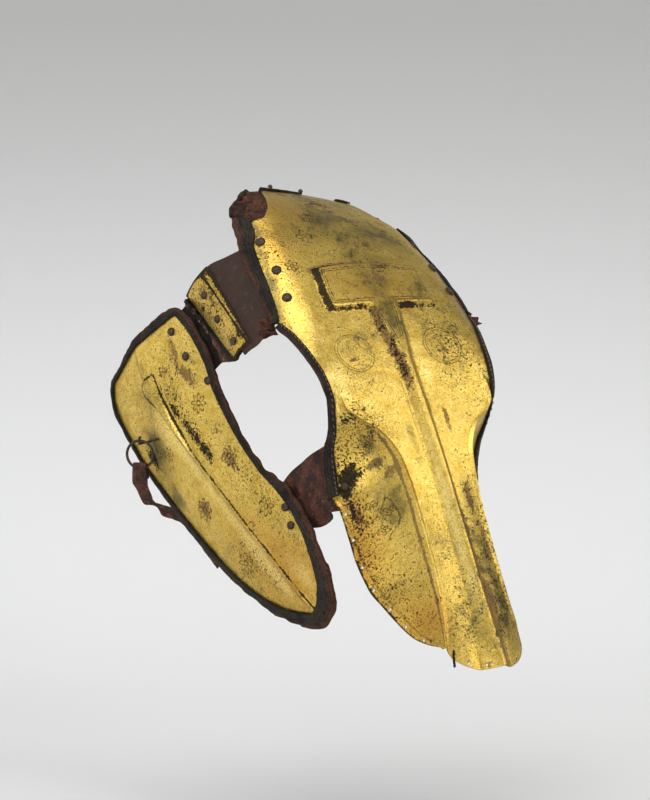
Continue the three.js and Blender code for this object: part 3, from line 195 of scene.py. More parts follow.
def put_mesh(name, points, quads, caps, material, marks):
    """A mesh from points in mm, four-cornered faces and end caps. If the sum of the corner tetrahedra
    is negative, the faces look inwards and all are turned round. A mark is three values a point."""
    mesh = bpy.data.meshes.new(name)
    corners = np.concatenate([quads.ravel(), *[np.asarray(cap) for cap in caps]]).astype(np.int32)
    sizes = np.concatenate([np.full(len(quads), 4), [len(cap) for cap in caps]]).astype(np.int32)
    starts = np.concatenate([[0], np.cumsum(sizes)[:-1]]).astype(np.int32)
    a, b, c, d = (points[quads[:, k]] for k in range(4))
    volume = np.sum(np.cross(b, c) * a) + np.sum(np.cross(c, d) * a)
    if volume < 0:
        whose = np.repeat(np.arange(len(sizes)), sizes)
        rank = np.arange(len(corners)) - starts[whose]
        corners = corners[starts[whose] + sizes[whose] - 1 - rank]
    mesh.vertices.add(len(points))
    mesh.vertices.foreach_set("co", (points * MM).astype(np.float32).ravel())
    mesh.loops.add(len(corners))
    mesh.loops.foreach_set("vertex_index", corners)
    mesh.polygons.add(len(sizes))
    mesh.polygons.foreach_set("loop_start", starts)
    mesh.polygons.foreach_set("use_smooth", np.ones(len(sizes), bool))
    mesh.update(calc_edges=True)
    for mark, values in marks.items():
        layer = mesh.attributes.new(mark, "FLOAT_VECTOR", "CORNER")
        layer.data.foreach_set("vector", values[corners].astype(np.float32).ravel())
    mesh.set_sharp_from_angle(angle=math.radians(50))
    mesh.materials.append(material)
    piece = bpy.data.objects.new(name, mesh)
    bpy.context.scene.collection.objects.link(piece)
    return piece


def grid_faces(rows, columns, closed=False):
    """Corner numbers of the faces between neighbouring points of a grid; closed joins the last row
    to the first."""
    first = np.arange(rows if closed else rows - 1)[:, None]
    after = (first + 1) % rows
    across = np.arange(columns - 1)[None, :]
    near, far = first * columns + across, after * columns + across
    return np.stack([near, near + 1, far + 1, far], axis=-1).reshape(-1, 4)


FLOOR_LOW, FLOOR_FRONT, WALL_BACK, WALL_TOP = -560.0, -6000.0, 1500.0, 4000.0
SWEEP_RADIUS, SWEEP_HALF, SWEEP_ROWS, BEND_FROM, BEND_SHARE = 700.0, 5000.0, 40, 0.35, 0.3
sweep_share = np.linspace(0, 1, SWEEP_ROWS)[:, None]
sweep_knots = (0, BEND_FROM, BEND_FROM + BEND_SHARE, 1)
bend_front, bend_top = WALL_BACK - SWEEP_RADIUS, FLOOR_LOW + SWEEP_RADIUS
sweep_y = np.interp(sweep_share, sweep_knots, (FLOOR_FRONT, bend_front, WALL_BACK, WALL_BACK))
sweep_z = np.interp(sweep_share, sweep_knots, (FLOOR_LOW, FLOOR_LOW, bend_top, WALL_TOP))
bend = np.clip((sweep_share - BEND_FROM) / BEND_SHARE, 0, 1) * math.pi / 2
bent = (bend > 0) & (bend < math.pi / 2)
sweep_y = np.where(bent, bend_front + SWEEP_RADIUS * np.sin(bend), sweep_y)
sweep_z = np.where(bent, bend_top - SWEEP_RADIUS * np.cos(bend), sweep_z)
sweep_x = np.array([[-SWEEP_HALF, SWEEP_HALF]])
camera_turn = math.atan2(CAMERA_BACK.x, -CAMERA_BACK.y)
turned_x = sweep_x * math.cos(camera_turn) - sweep_y * math.sin(camera_turn)
turned_y = sweep_x * math.sin(camera_turn) + sweep_y * math.cos(camera_turn)
sweep_points = np.stack(np.broadcast_arrays(turned_x, turned_y, sweep_z), axis=-1).reshape(-1, 3)
backdrop = put_mesh("backdrop", sweep_points, grid_faces(SWEEP_ROWS, 2), (), paper.material, {})

# Face plate: one sheet of copper, hammered over forehead and nose and gilded. The T at the brow
# and the ridge down the nose are raised from behind, the flares beside the nose scooped, and the
# ornament engraved. Measures in mm; s runs down the middle line from the poll edge, across is 0
# on that line, 1 on the crease and 2 on the rim.
PLATE_LENGTH, BROW_HALF, FLARE_DEPTH = 620.0, 118.0, 74.0
PLATE_WALL, GAP = 1.5, 0.3
BAR_HEIGHT, BAR_FLANK, BAR_ARCH = 5.0, 5.0, 5.0
BAR_TOP, BAR_BOTTOM, BAR_HALF_SHARE = 153.0, 201.0, 0.75
TIP_REACH, NOTCH_DEPTH, BROW_AT = 33.0, 60.0, 200.0
NOSE_CORNER = 0.947
SECTION_COLUMNS = ("run", "fall", "crown", "crown_drop", "edge", "edge_drop", "hollow", "bead", "sprung")
SECTIONS = np.array([
    (0, 8, 0.52, 0.01, 0.83, 0.11, -0.1, 0, 9.5),
    (0.076, 26, 0.56, 0.03, 0.83, 0.16, -0.1, 0, 7),
    (0.127, 33, 0.6, 0.04, 0.85, 0.2, -0.1, 0, 4.5),
    (0.161, 36.5, 0.64, 0.05, 0.915, 0.27, -0.1, 0, 3.8),
    (0.21, 40, 0.66, 0.06, 0.95, 0.28, -0.1, 0, 2.4),
    (0.26, 43.5, 0.68, 0.06, 0.97, 0.285, -0.1, 0, 1.2),
    (0.3, 46.5, 0.7, 0.06, 0.99, 0.28, -0.1, 0, 0.4),
    (0.33, 49, 0.7, 0.05, 1.005, 0.31, -0.1, 0, 0),
    (0.366, 52, 0.71, 0.04, 0.98, 0.184, 0, 0, 0),
    (0.413, 54.7, 0.73, 0.015, 0.932, 0.077, 0, 0, 0),
    (0.458, 56, 0.76, 0, 0.894, 0.016, 0, 0, 0),
    (0.494, 56.7, 0.79, 0, 0.864, 0.057, 0, 0.1, 0),
    (0.516, 57, 0.78, 0.02, 0.843, 0.19, 0.1, 0.35, 0),
    (0.544, 57.4, 0.66, 0.01, 0.814, 0.438, 0.3, 0.5, 0),
    (0.561, 57.7, 0.54, 0, 0.805, 0.66, 0.45, 0.5, 0),
    (0.585, 58.2, 0.45, -0.01, 0.788, 0.823, 0.5, 0.5, 0),
    (0.613, 58.9, 0.39, -0.01, 0.775, 0.93, 0.5, 0.5, 0),
    (0.634, 59.2, 0.37, 0, 0.767, 0.98, 0.5, 0.5, 0),
    (0.661, 59.7, 0.352, 0.015, 0.746, 0.92, 0.5, 0.5, 0),
    (0.705, 60.3, 0.34, 0.04, 0.733, 0.937, 0.5, 0.45, 0),
    (0.753, 60.8, 0.335, 0.06, 0.72, 0.957, 0.45, 0.4, 0),
    (0.803, 61.2, 0.335, 0.068, 0.678, 0.94, 0.4, 0.4, 0),
    (0.845, 61.6, 0.343, 0.075, 0.627, 0.807, 0.3, 0.35, 0),
    (0.884, 62, 0.356, 0.095, 0.568, 0.682, 0.25, 0.3, 0),
    (0.913, 62.3, 0.373, 0.12, 0.513, 0.554, 0.2, 0.3, 0),
    (0.932, 62.5, 0.384, 0.155, 0.453, 0.396, 0.1, 0.25, 0),
    (0.947, 62.5, 0.39, 0.176, 0.403, 0.215, 0, 0.2, 0),
    (1, 62, 0.39, 0.176, 0.403, 0.215, 0, 0.2, 0),
])
RIDGE_COLUMNS = ("run", "top", "foot", "high")
RIDGE = np.array([
    (0.32, 0.127, 0.161, 1),
    (0.39, 0.076, 0.131, 1.4),
    (0.457, 0.012, 0.095, 2),
    (0.613, 0.012, 0.092, 2.15),
    (0.845, 0.012, 0.096, 2.2),
    (0.91, 0.014, 0.11, 2.5),
    (0.97, 0.014, 0.15, 3.3),
    (1, 0.014, 0.155, 3.3),
])
POLL_EDGE = np.array([
    (0, 0), (0.52, 0.06), (0.58, 0.2), (0.62, 0.55), (0.7, 0.88), (0.8, 1.03), (0.92, 1.06), (1, 1),
])


def fair_curve(at, x, y):
    """Smooth curve through the points (x, y) that never overshoots: between two points a cubic
    whose end slopes are weighted harmonic means of the straight slopes on both sides."""
    step = np.diff(x)
    rise = np.diff(y) / step
    before, after = 2 * step[1:] + step[:-1], step[1:] + 2 * step[:-1]
    same = rise[:-1] * rise[1:] > 0
    safe = np.where(same[:, None], np.stack([rise[:-1], rise[1:]], 1), 1.0)
    middle = np.where(same, (before + after) / (before / safe[:, 0] + after / safe[:, 1]), 0.0)
    slope = np.concatenate([rise[:1], middle, rise[-1:]])
    value = np.clip(at, x[0], x[-1])
    i = np.clip(np.searchsorted(x, value, side="left") - 1, 0, len(x) - 2)
    f = (value - x[i]) / step[i]
    g = 1 - f
    ends = y[i] * (1 + 2 * f) * g * g + y[i + 1] * (3 - 2 * f) * f * f
    return ends + step[i] * f * g * (slope[i] * g - slope[i + 1] * f)


def section(name, s):
    """One column of the plate's sections at distance s from the poll edge."""
    return fair_curve(s / PLATE_LENGTH, SECTIONS[:, 0], SECTIONS[:, SECTION_COLUMNS.index(name)])


def ridge(name, s):
    return fair_curve(s / PLATE_LENGTH, RIDGE[:, 0], RIDGE[:, RIDGE_COLUMNS.index(name)])


def share01(value):
    return np.clip(value, 0, 1)


def eased(value):
    """0 to 1 with a soft start and end."""
    part = share01(value)
    return part * part * (3 - 2 * part)


def blend(a, b, share):
    return a + (b - a) * share


# The middle line: its steps of 2 mm turned by the sections' slope and added up, and moved so that
# the plate's inner side at the brow is the origin.
MIDDLE_STEP = 2.0
middle_s = np.arange(0, PLATE_LENGTH + 10 * MIDDLE_STEP, MIDDLE_STEP)
middle_fall = np.radians(section("fall", middle_s))
middle_y = -np.concatenate([[0], np.cumsum(np.cos(middle_fall) * MIDDLE_STEP)[:-1]])
middle_z = -np.concatenate([[0], np.cumsum(np.sin(middle_fall) * MIDDLE_STEP)[:-1]])
brow_row = round(BROW_AT / MIDDLE_STEP)
middle_y = middle_y - middle_y[brow_row] - math.sin(middle_fall[brow_row]) * PLATE_WALL
middle_z = middle_z - middle_z[brow_row] + math.cos(middle_fall[brow_row]) * PLATE_WALL


def t_relief(s, x):
    """Height of the raised T and nose ridge: full inside their outline, falling softly to nothing
    over the flank; the T's upper edge rises in an arch to the middle."""
    crown = section("crown", s) * BROW_HALF
    off = np.abs(x)
    bar_foot = BAR_HALF_SHARE * crown + BAR_FLANK
    arch = BAR_ARCH * (1 - share01(off / bar_foot) ** 2)
    bar = eased((bar_foot - off) / BAR_FLANK) * eased((s - (BAR_TOP - BAR_FLANK - arch)) / BAR_FLANK)
    bar = bar * eased((BAR_BOTTOM + BAR_FLANK - s) / BAR_FLANK)
    top, foot = ridge("top", s) * BROW_HALF, ridge("foot", s) * BROW_HALF
    stem = np.where(s > BAR_BOTTOM, ridge("high", s) * share01((foot - off) / (foot - top)), 0)
    return BAR_HEIGHT * np.maximum(bar, stem)


def plate_out(s, across, rounded=1.0):
    """Distance out from the middle line and drop behind it: the crown falls with the cube of its
    share, the side panel runs to the rim and is scooped by its hollow. Over the brow it starts
    level with the crown and bends down in a parabola, where rounded is 1."""
    share = np.abs(across)
    crown, edge = section("crown", s) * BROW_HALF, section("edge", s) * BROW_HALF
    crown_drop, edge_drop = section("crown_drop", s) * FLARE_DEPTH, section("edge_drop", s) * FLARE_DEPTH
    bead = section("bead", s) * BAR_HEIGHT
    g = share01(share - 1)
    sag = section("hollow", s) * g * (1 - g)
    inner = share <= 1
    x = np.where(inner, crown * share, crown + (edge - crown) * (g - sag * 0.6))
    crown_side = crown_drop * share**3 - bead * eased(1 - (1 - share) * crown / BAR_FLANK)
    panel = crown_drop + (edge_drop - crown_drop) * (g + sag * 0.6)
    soft = eased((0.5 - s / PLATE_LENGTH) / 0.06) * rounded
    level = 3 * crown_drop / crown * (edge - crown)
    panel = panel - soft * g * (1 - g) * (edge_drop - crown_drop - level)
    panel = panel - bead * eased(1 - g * (edge - crown + edge_drop - crown_drop) / BAR_FLANK)
    drop = np.where(inner, crown_side - t_relief(s, x), panel)
    return x, drop


def plate_spot(s, across, lift=0.0, rounded=1.0):
    """A point of the plate's outer side. The old plate has sprung: each section is turned a little
    about the middle line."""
    s, across = np.broadcast_arrays(np.asarray(s, float), np.asarray(across, float))
    sign = np.where(across < 0, -1.0, 1.0)
    x, drop = plate_out(s, across, rounded)
    drop = drop - lift
    turn = np.radians(section("sprung", s))
    lateral = sign * x * np.cos(turn) - drop * np.sin(turn)
    sunk = drop * np.cos(turn) + sign * x * np.sin(turn)
    fall = np.interp(s, middle_s, middle_fall)
    y = np.interp(s, middle_s, middle_y) + sunk * np.sin(fall)
    z = np.interp(s, middle_s, middle_z) - sunk * np.cos(fall)
    return np.stack([lateral, y, z], axis=-1)


def plate_row(row, across):
    """Distance from the poll edge of a point of the grid: rows bend round the ear notches at the
    top, follow the T's arch, and run out to the rounded nose tip."""
    row, across = np.broadcast_arrays(np.asarray(row, float), np.asarray(across, float))
    share = np.abs(across)
    crown, edge = section("crown", row), section("edge", row)
    out = np.where(share <= 1, share * crown, blend(crown, edge, share - 1)) / edge
    notch_end = NOTCH_DEPTH * 1.7
    down = fair_curve(out, POLL_EDGE[:, 0], POLL_EDGE[:, 1])
    s = row + down * NOTCH_DEPTH * share01(1 - row / notch_end)
    arch_reach, arch_at = 25.0, BAR_TOP - BAR_FLANK / 2
    near = np.abs(row - arch_at)
    bar_share = share01(share / (BAR_HALF_SHARE + BAR_FLANK / (crown * BROW_HALF)))
    s = s - BAR_ARCH * (1 - bar_share**2) * share01((arch_reach - near) / (arch_reach / 2))
    tip_start, corner = 0.83 * PLATE_LENGTH, NOSE_CORNER * PLATE_LENGTH
    reach = share01((row - tip_start) / (corner - tip_start)) ** 2
    return s + TIP_REACH * reach * np.sqrt(1 - np.minimum(share, 1) ** 2)


def plate_at(row, across, rounded=1.0):
    return plate_spot(plate_row(row, across), across, rounded=rounded)


def unit(vectors):
    return vectors / np.linalg.norm(vectors, axis=-1, keepdims=True)


def plate_off(s, across):
    """Direction off the plate's outer side."""
    down = plate_spot(s + 1, across) - plate_spot(s - 1, across)
    out = plate_spot(s, across + 0.02) - plate_spot(s, across - 0.02)
    return unit(np.cross(down, out))


INNER_SIDE = 1.75


def rim_frame(row, sign):
    """On the rim at a row: the spot, the direction out over the rim, that off the plate."""
    spot = plate_at(row, 2.0 * sign)
    out = unit(spot - plate_at(row, INNER_SIDE * sign, rounded=0.0))
    along = plate_at(row + 1, 2.0 * sign) - plate_at(row - 1, 2.0 * sign)
    return spot, out, unit(np.cross(along, out)) * sign


def ripple(points, size, seed):
    """Gentle waves with crests about size mm apart: a sum of sines in eight fixed directions."""
    turn = np.random.default_rng(seed)
    ways = turn.normal(size=(8, 3))
    ways = unit(ways) * (2 * math.pi / size) * turn.uniform(0.6, 1.5, (8, 1))
    shift = turn.uniform(0, 2 * math.pi, 8)
    return np.sin(points @ ways.T + shift).mean(axis=-1) * 2


def grid_normals(grid):
    down = np.gradient(grid, axis=0)
    across = np.gradient(grid, axis=1)
    return unit(np.cross(down, across))


def sheet_piece(name, grid, wall, inward, material, marks):
    """A sheet of one thickness from points on its outer side. The inner side lies a wall further
    in along the normals, and square edges close it. Marks are carried to both sides; the first
    value of the mark side is 0 outside and 1 inside."""
    rows, columns = grid.shape[:2]
    normals = grid_normals(grid)
    facing = 1 if np.dot(normals[rows // 2, columns // 2], inward) > 0 else -1
    inner = grid + normals * facing * wall
    count = rows * columns
    front = grid_faces(rows, columns)
    at = np.arange(count).reshape(rows, columns)
    border = np.concatenate([at[0, :-1], at[:-1, -1], at[-1, :0:-1], at[:0:-1, 0]])
    following = np.roll(border, -1)
    edge = np.stack([border, border + count, following + count, following], axis=1)
    quads = np.concatenate([front, front[:, ::-1] + count, edge])
    points = np.concatenate([grid.reshape(-1, 3), inner.reshape(-1, 3)])
    side = np.zeros((2 * count, 3))
    side[count:, 0] = 1
    carried = {key: np.concatenate([values.reshape(-1, 3)] * 2) for key, values in marks.items()}
    return put_mesh(name, points, quads, (), material, {"side": side, **carried})


def drawn_path(points, step, closed=False, soften=0):
    """The same path with points a step apart: straight between the given ones, then each point
    the mean of its neighbours soften places to both sides."""
    if closed:
        points = np.concatenate([points, points[:1]])
    lengths = np.concatenate([[0], np.cumsum(np.linalg.norm(np.diff(points[:, :3], axis=0), axis=1))])
    count = max(int(lengths[-1] / step), 4)
    at = np.linspace(0, lengths[-1], count, endpoint=not closed)
    path = np.stack([np.interp(at, lengths, points[:, k]) for k in range(points.shape[1])], axis=1)
    if soften:
        mode = "wrap" if closed else "edge"
        padded = np.pad(path, ((soften, soften), (0, 0)), mode=mode)
        kernel = np.hanning(2 * soften + 3)[1:-1]
        kernel /= kernel.sum()
        path = np.stack([np.convolve(padded[:, k], kernel, "valid") for k in range(path.shape[1])], axis=1)
    return path, at


def carried_piece(name, rings, closed, material, marks):
    """A profile carried along a path: rings of points, joined ring to ring, with both end rings
    filled unless the path closes on itself."""
    count, sides = rings.shape[:2]
    whose, place = np.divmod(grid_faces(count, sides + 1, closed), sides + 1)
    quads = whose * sides + place % sides
    caps = () if closed else (np.arange(sides)[::-1], np.arange(sides) + (count - 1) * sides)
    flat = {key: values.reshape(-1, 3) for key, values in marks.items()}
    return put_mesh(name, rings.reshape(-1, 3), quads, caps, material, flat)


def small_bodies(name, rings, material):
    """Many small closed bodies in one mesh: each is a row of rings of points, joined ring to ring,
    with both end rings filled."""
    count, rows, sides = rings.shape[:3]
    whose, place = np.divmod(grid_faces(rows, sides + 1), sides + 1)
    starts = np.arange(count) * rows * sides
    quads = ((whose * sides + place % sides)[None] + starts[:, None, None]).reshape(-1, 4)
    caps = [np.arange(sides)[::-1] + start for start in starts]
    caps += [np.arange(sides) + (rows - 1) * sides + start for start in starts]
    return put_mesh(name, rings.reshape(-1, 3), quads, caps, material, {})


def circle(count):
    """Cosine and sine of that many even turns round a circle."""
    turn = np.linspace(0, 2 * math.pi, count, endpoint=False)
    return np.cos(turn), np.sin(turn)


def settle(piece, material_slot, *nodes):
    """The piece rides on the armour's one body and stands for its CAD nodes; material_slot is not used."""
    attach(piece, "root")
    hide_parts(*nodes)
    return piece


GOLD_DEEP, GOLD_BRIGHT, GOLD_WARM = (0.6, 0.385, 0.062), (0.9, 0.645, 0.16), (0.55, 0.27, 0.04)
GOLD_RUBBED_AND_HIGHLIT, DULL_DARK, DULL_PALE = (0.98, 0.76, 0.25), (0.13, 0.1, 0.03), (0.34, 0.26, 0.075)
BLOT_AND_SHADE_BROWN, ETCH_BROWN, DASH_BROWN = (0.13, 0.065, 0.04), (0.12, 0.08, 0.022), (0.05, 0.03, 0.015)
GRIT_BROWN, SPECK_BROWN, CUT_BROWN = (0.09, 0.055, 0.02), (0.035, 0.02, 0.01), (0.06, 0.03, 0.012)
SOOT_AND_SHADE_BLACK, DULL_COPPER = (0.02, 0.017, 0.012), (0.12, 0.07, 0.04)


def engraved_lines(gilt, place):
    """The engraver's figures: borders that follow an edge, rosettes whose outline is a ring of
    petals round a small circle, and medallions of two rings with a scroll inside."""
    line_off, motif_x, motif_y = gilt.mark("engraving")
    drawn, petals, ringed = gilt.mark("figure")
    out = gilt.math("SQRT", gilt.math("POWER", motif_x, 2) + gilt.math("POWER", motif_y, 2))
    turn = gilt.math("ARCTAN2", motif_y, motif_x)
    petal_edge = gilt.math("ABSOLUTE", gilt.math("COSINE", turn * (petals * 0.5))) * 0.5 + 0.42
    rosette = gilt.any(gilt.line(out - petal_edge, 0, 0.16), gilt.line(out, 0.24, 0.13))
    swirl = gilt.math("SINE", turn * 2 + out * 9 + gilt.noise(place, 60, 2) * 14)
    scroll = gilt.line(swirl, 0, 0.34) * gilt.step(out, 0.8, 0.74)
    medallion = gilt.any(gilt.line(out, 0.98, 0.05), gilt.line(out, 0.85, 0.04), scroll)
    is_ring = gilt.step(ringed, 0.4, 0.6)
    figure = (rosette * (1 - is_ring) + medallion * (is_ring * 0.6)) * gilt.step(drawn, 0.6, 0.95)
    return gilt.any(figure, gilt.line(line_off, 0, 0.85), gilt.line(line_off, 2.6, 0.75))


def gilt_copper():
    """Old gilding: mottled gold that the marks make warmer, duller, rubbed, blotted or sooty, under specks,
    short dashes and the engraved lines. The dull, blotted and sooty marks also carry painted shade, and the
    rubbed one painted highlights. Soot and the painted shade with it, and specks, are bare of metal, the
    inside dull."""
    gilt = Finish("gilt_copper")
    place = gilt.place()
    cloud = gilt.noise(place, 16, 4, 0.6)
    mottle = gilt.noise(place, 85, 5, 0.68, 0.4)
    fine = gilt.noise(place, 430, 4, 0.65)
    grit = gilt.noise(place, 1100, 2, 0.6)
    inside, _, _ = gilt.mark("side")
    warm, olive_and_shade, stain_and_shade = gilt.mark("tone")
    soot_and_shade, pits, rub_and_highlight = gilt.mark("wear")
    gold = gilt.mix(gilt.step(mottle, 0.3, 0.7), GOLD_DEEP, GOLD_BRIGHT)
    gold = gilt.mix(gilt.step(warm + mottle.swing(0.5), 0.1, 0.8) * 0.9, gold, GOLD_WARM)
    dull = gilt.mix(gilt.step(fine, 0.35, 0.65), DULL_DARK, DULL_PALE)
    # The dull olive share also carries the painted shade on the flare beside the bead.
    dulled_and_shaded = olive_and_shade + mottle.swing(0.75) + cloud.swing(0.85) + fine.swing(0.35)
    gold = gilt.mix(gilt.step(dulled_and_shaded, 0.2, 0.9), gold, dull)
    # Rubbed gold also stands for painted highlights.
    gold = gilt.mix(gilt.step(rub_and_highlight + mottle.swing(0.5), 0.3, 0.9) * 0.6, gold, GOLD_RUBBED_AND_HIGHLIT)
    # Blotted brown also paints the shadow beside the crease and the shade right of the ridge.
    blotted_and_shaded = gilt.step(stain_and_shade + mottle.swing(0.75) + fine.swing(0.35), 0.32, 0.62)
    gold = gilt.mix(blotted_and_shaded * 0.72, gold, BLOT_AND_SHADE_BROWN)
    etched = gilt.step(gilt.noise(place, 620, 3, 0.7, 0.6) + cloud.swing(0.12), 0.52, 0.6)
    gold = gilt.mix(etched * 0.5, gold, ETCH_BROWN)
    dashes = gilt.noise(gilt.place((1, 1, 4)), 260, 3, 0.65, 0.3) + pits * 0.05
    gold = gilt.mix(gilt.step(dashes, 0.66, 0.72) * 0.8, gold, DASH_BROWN)
    fine_speck = gilt.step(grit + (mottle.swing(0.16) + pits * 0.03), 0.6, 0.72)
    gold = gilt.mix(fine_speck * 0.55, gold, GRIT_BROWN)
    speck = fine + (pits + cloud.swing(0.3)) * 0.1 + mottle.swing(0.16)
    dark_speck = gilt.step(speck, 0.63, 0.69)
    gold = gilt.mix(dark_speck * 0.9, gold, SPECK_BROWN)
    # Sooty black also paints shade at the foot of the raised relief and beside the ridge and rib.
    sooty_and_shaded = gilt.step(soot_and_shade + (mottle.swing(0.6) + fine.swing(0.6)), 0.34, 0.6)
    gold = gilt.mix(sooty_and_shaded * 0.96, gold, SOOT_AND_SHADE_BLACK)
    cut = engraved_lines(gilt, place) * gilt.step(fine, 0.36, 0.52)
    gold = gilt.mix(cut * 0.8, gold, CUT_BROWN)
    gold = gilt.mix(inside * 0.92, gold, DULL_COPPER)
    rough = mottle * 0.24 + 0.24 + gilt.any(sooty_and_shaded * 1.5, dark_speck, blotted_and_shaded) * 0.3
    relief = mottle * 0.55 + fine * 0.3 - gilt.any(cut, dark_speck) * 0.35
    bare = gilt.any(sooty_and_shaded, gilt.any(dark_speck, blotted_and_shaded) * 0.6, inside * 0.5)
    gilt.surface(gold, rough, relief, 0.0011, 1 - bare * 0.85, gloss=0.06)
    return gilt.material


gilt = gilt_copper()


def bell(value, at, half):
    """1 at the given figure, falling off to both sides as a bell curve."""
    return np.exp(-(((value - at) / half) ** 2))


def past(value, at, over):
    """0 before the given figure and 1 a stretch past it; the stretch is negative to fall."""
    return eased((value - at) / over)


def patches(first, second, table):
    """Soft oval patches. A row holds the place, half length and half width of one patch and its
    strength, which falls from the middle as a bell curve."""
    total = np.zeros_like(first)
    for at, beside, long, wide, strength in table:
        total += strength * bell(first, at, long) * bell(second, beside, wide)
    return share01(total)


def figures(first, second, table):
    """For the engraver's figures, the place inside the nearest one in shares of its radius, and
    whether it is drawn there, its number of petals and whether it is a medallion."""
    nearest = np.full(first.shape, 9.0)
    inside_x, inside_y, count, ring = (np.zeros_like(first) for _ in range(4))
    for at, beside, radius, number, is_ring in table:
        x, y = (first - at) / radius, (second - beside) / radius
        far = np.hypot(x, y)
        closer = far < nearest
        nearest = np.where(closer, far, nearest)
        inside_x, inside_y = np.where(closer, x, inside_x), np.where(closer, y, inside_y)
        count, ring = np.where(closer, number, count), np.where(closer, is_ring, ring)
    return inside_x, inside_y, (nearest < 1.3) * 1.0, count, ring


def strokes(first, second, table):
    """Distance to the nearest of the straight engraved strokes, each given by its two ends."""
    nearest = np.full(first.shape, 9.0)
    for from_s, from_x, to_s, to_x in table:
        long_s, long_x = to_s - from_s, to_x - from_x
        off_s, off_x = first - from_s, second - from_x
        share = share01((off_s * long_s + off_x * long_x) / (long_s**2 + long_x**2))
        nearest = np.minimum(nearest, np.hypot(off_s - share * long_s, off_x - share * long_x))
    return nearest


# The grid's rows lie closer where the T's edges are, and its columns fall on the relief's edges.
row_marks = np.array([
    (0, 2.6), (BAR_TOP - 16, 2.6), (BAR_TOP - 12, 1.3), (BAR_BOTTOM + 9, 1.3), (BAR_BOTTOM + 14, 2.7),
    (0.5 * PLATE_LENGTH, 2.7), (0.6 * PLATE_LENGTH, 2.5), (NOSE_CORNER * PLATE_LENGTH, 2.5),
])
fine_s = np.linspace(0, NOSE_CORNER * PLATE_LENGTH, 4000)
density = np.cumsum(1 / np.interp(fine_s, row_marks[:, 0], row_marks[:, 1]))
row_count = int(density[-1] * (fine_s[1] - fine_s[0])) + 1
plate_rows = np.interp(np.linspace(density[0], density[-1], row_count), density, fine_s)
crown_at = section("crown", plate_rows)
top_share, foot_share = ridge("top", plate_rows) / crown_at, ridge("foot", plate_rows) / crown_at
bar_foot_share = BAR_HALF_SHARE + BAR_FLANK / (crown_at * BROW_HALF)
bead_share = np.maximum(1 - BAR_FLANK / (crown_at * BROW_HALF), blend(bar_foot_share, 1, 0.4))
fixed = [np.full_like(plate_rows, share) for share in (1.0, 1.12, 1.3, 1.5, INNER_SIDE, 2.0)]
knots = [np.zeros_like(plate_rows), top_share, foot_share, blend(foot_share, BAR_HALF_SHARE, 0.5)]
knots = np.stack([*knots, fixed[0] * BAR_HALF_SHARE, bar_foot_share, bead_share, *fixed], axis=1)
KNOT_STEPS = (3, 5, 8, 7, 4, 5, 4, 6, 11, 11, 12, 13)
half_columns = [
    blend(knots[:, k, None], knots[:, k + 1, None], (np.arange(count) / count)[None, :])
    for k, count in enumerate(KNOT_STEPS)
]
half_across = np.concatenate([*half_columns, knots[:, -1:]], axis=1)
plate_across = np.concatenate([-half_across[:, :0:-1], half_across], axis=1)
plate_s = plate_row(plate_rows[:, None], plate_across)
plate_flat = plate_spot(plate_s, plate_across)
plate_x = np.where(plate_across < 0, -1, 1) * plate_out(plate_s, plate_across)[0]
dent = 0.35 * ripple(plate_flat, 60, 3) + 0.14 * ripple(plate_flat, 22, 4)
plate_grid = plate_spot(plate_s, plate_across, lift=dent)

# Where the gilding has turned, and where highlights are painted in with the rubbed gold: (s, x, half length,
# half width, strength) of each patch.
PLATE_WARM = (
    (455, -80, 95, 24, 0.6), (455, 80, 95, 24, 0.6), (118, -96, 50, 24, 0.4), (205, 30, 6, 6, 1.0),
    (560, -50, 40, 20, 0.6), (180, 0, 34, 66, 0.5), (60, -50, 60, 50, 0.45),
)
PLATE_OLIVE = (
    (120, -15, 55, 55, 0.42), (60, 40, 50, 50, 0.3), (413, -46, 30, 13, 0.3), (366, -20, 26, 7, 0.9),
    (250, -48, 34, 34, 0.42), (250, 50, 50, 40, 0.55), (40, -30, 45, 60, 0.4), (180, 0, 24, 66, 0.55),
    (120, 70, 50, 40, 0.4), (225, 0, 30, 14, 0.5), (540, 40, 60, 30, 0.3), (470, 27, 100, 12, 0.55),
    (545, -4, 52, 40, 0.45), (440, -4, 60, 26, 0.22),
)
PLATE_STAIN = (
    (112, 10, 9, 11, 0.7), (70, 65, 9, 9, 0.7), (168, 6, 9, 22, 0.7), (246, -48, 12, 9, 0.5),
    (268, -62, 9, 12, 0.45), (420, -76, 9, 5, 0.9), (375, -58, 7, 7, 0.7), (391, -50, 8, 6, 0.7),
    (260, 55, 22, 14, 0.5), (430, 26, 14, 4, 0.7), (339, 29, 16, 4, 0.8), (300, -45, 26, 9, 0.3),
    (560, 16, 50, 7, 0.8), (480, 10, 60, 5, 0.7), (480, 29, 70, 8, 0.5), (60, -20, 10, 22, 0.4),
    (350, 60, 22, 9, 0.4), (36, 0, 13, 21, 0.75),
)
PLATE_SOOT = (
    (376, -76, 12, 11, 0.9), (392, -79, 9, 6, 0.7), (415, -78, 14, 3, 0.7), (440, -76, 12, 3, 0.6),
    (376, 76, 12, 11, 0.7), (332, -84, 7, 12, 0.5),
    (506, -60, 2.5, 14, 0.55), (533, -58, 2.5, 12, 0.55), (481, -64, 2.5, 8, 0.5), (204, 27, 4, 9, 0.5),
)
PLATE_PITS = (
    (340, -78, 22, 16, 2.2), (366, -80, 20, 12, 2.0), (440, -74, 40, 8, 1.2),
    (520, -62, 50, 20, 0.75), (430, -80, 60, 12, 0.8),
    (560, 0, 50, 40, 0.55), (118, -95, 70, 26, 0.5), (130, 0, 60, 70, 0.55), (520, 62, 60, 20, 1.0),
    (250, 70, 60, 30, 0.7), (480, 30, 90, 11, 1.1),
)
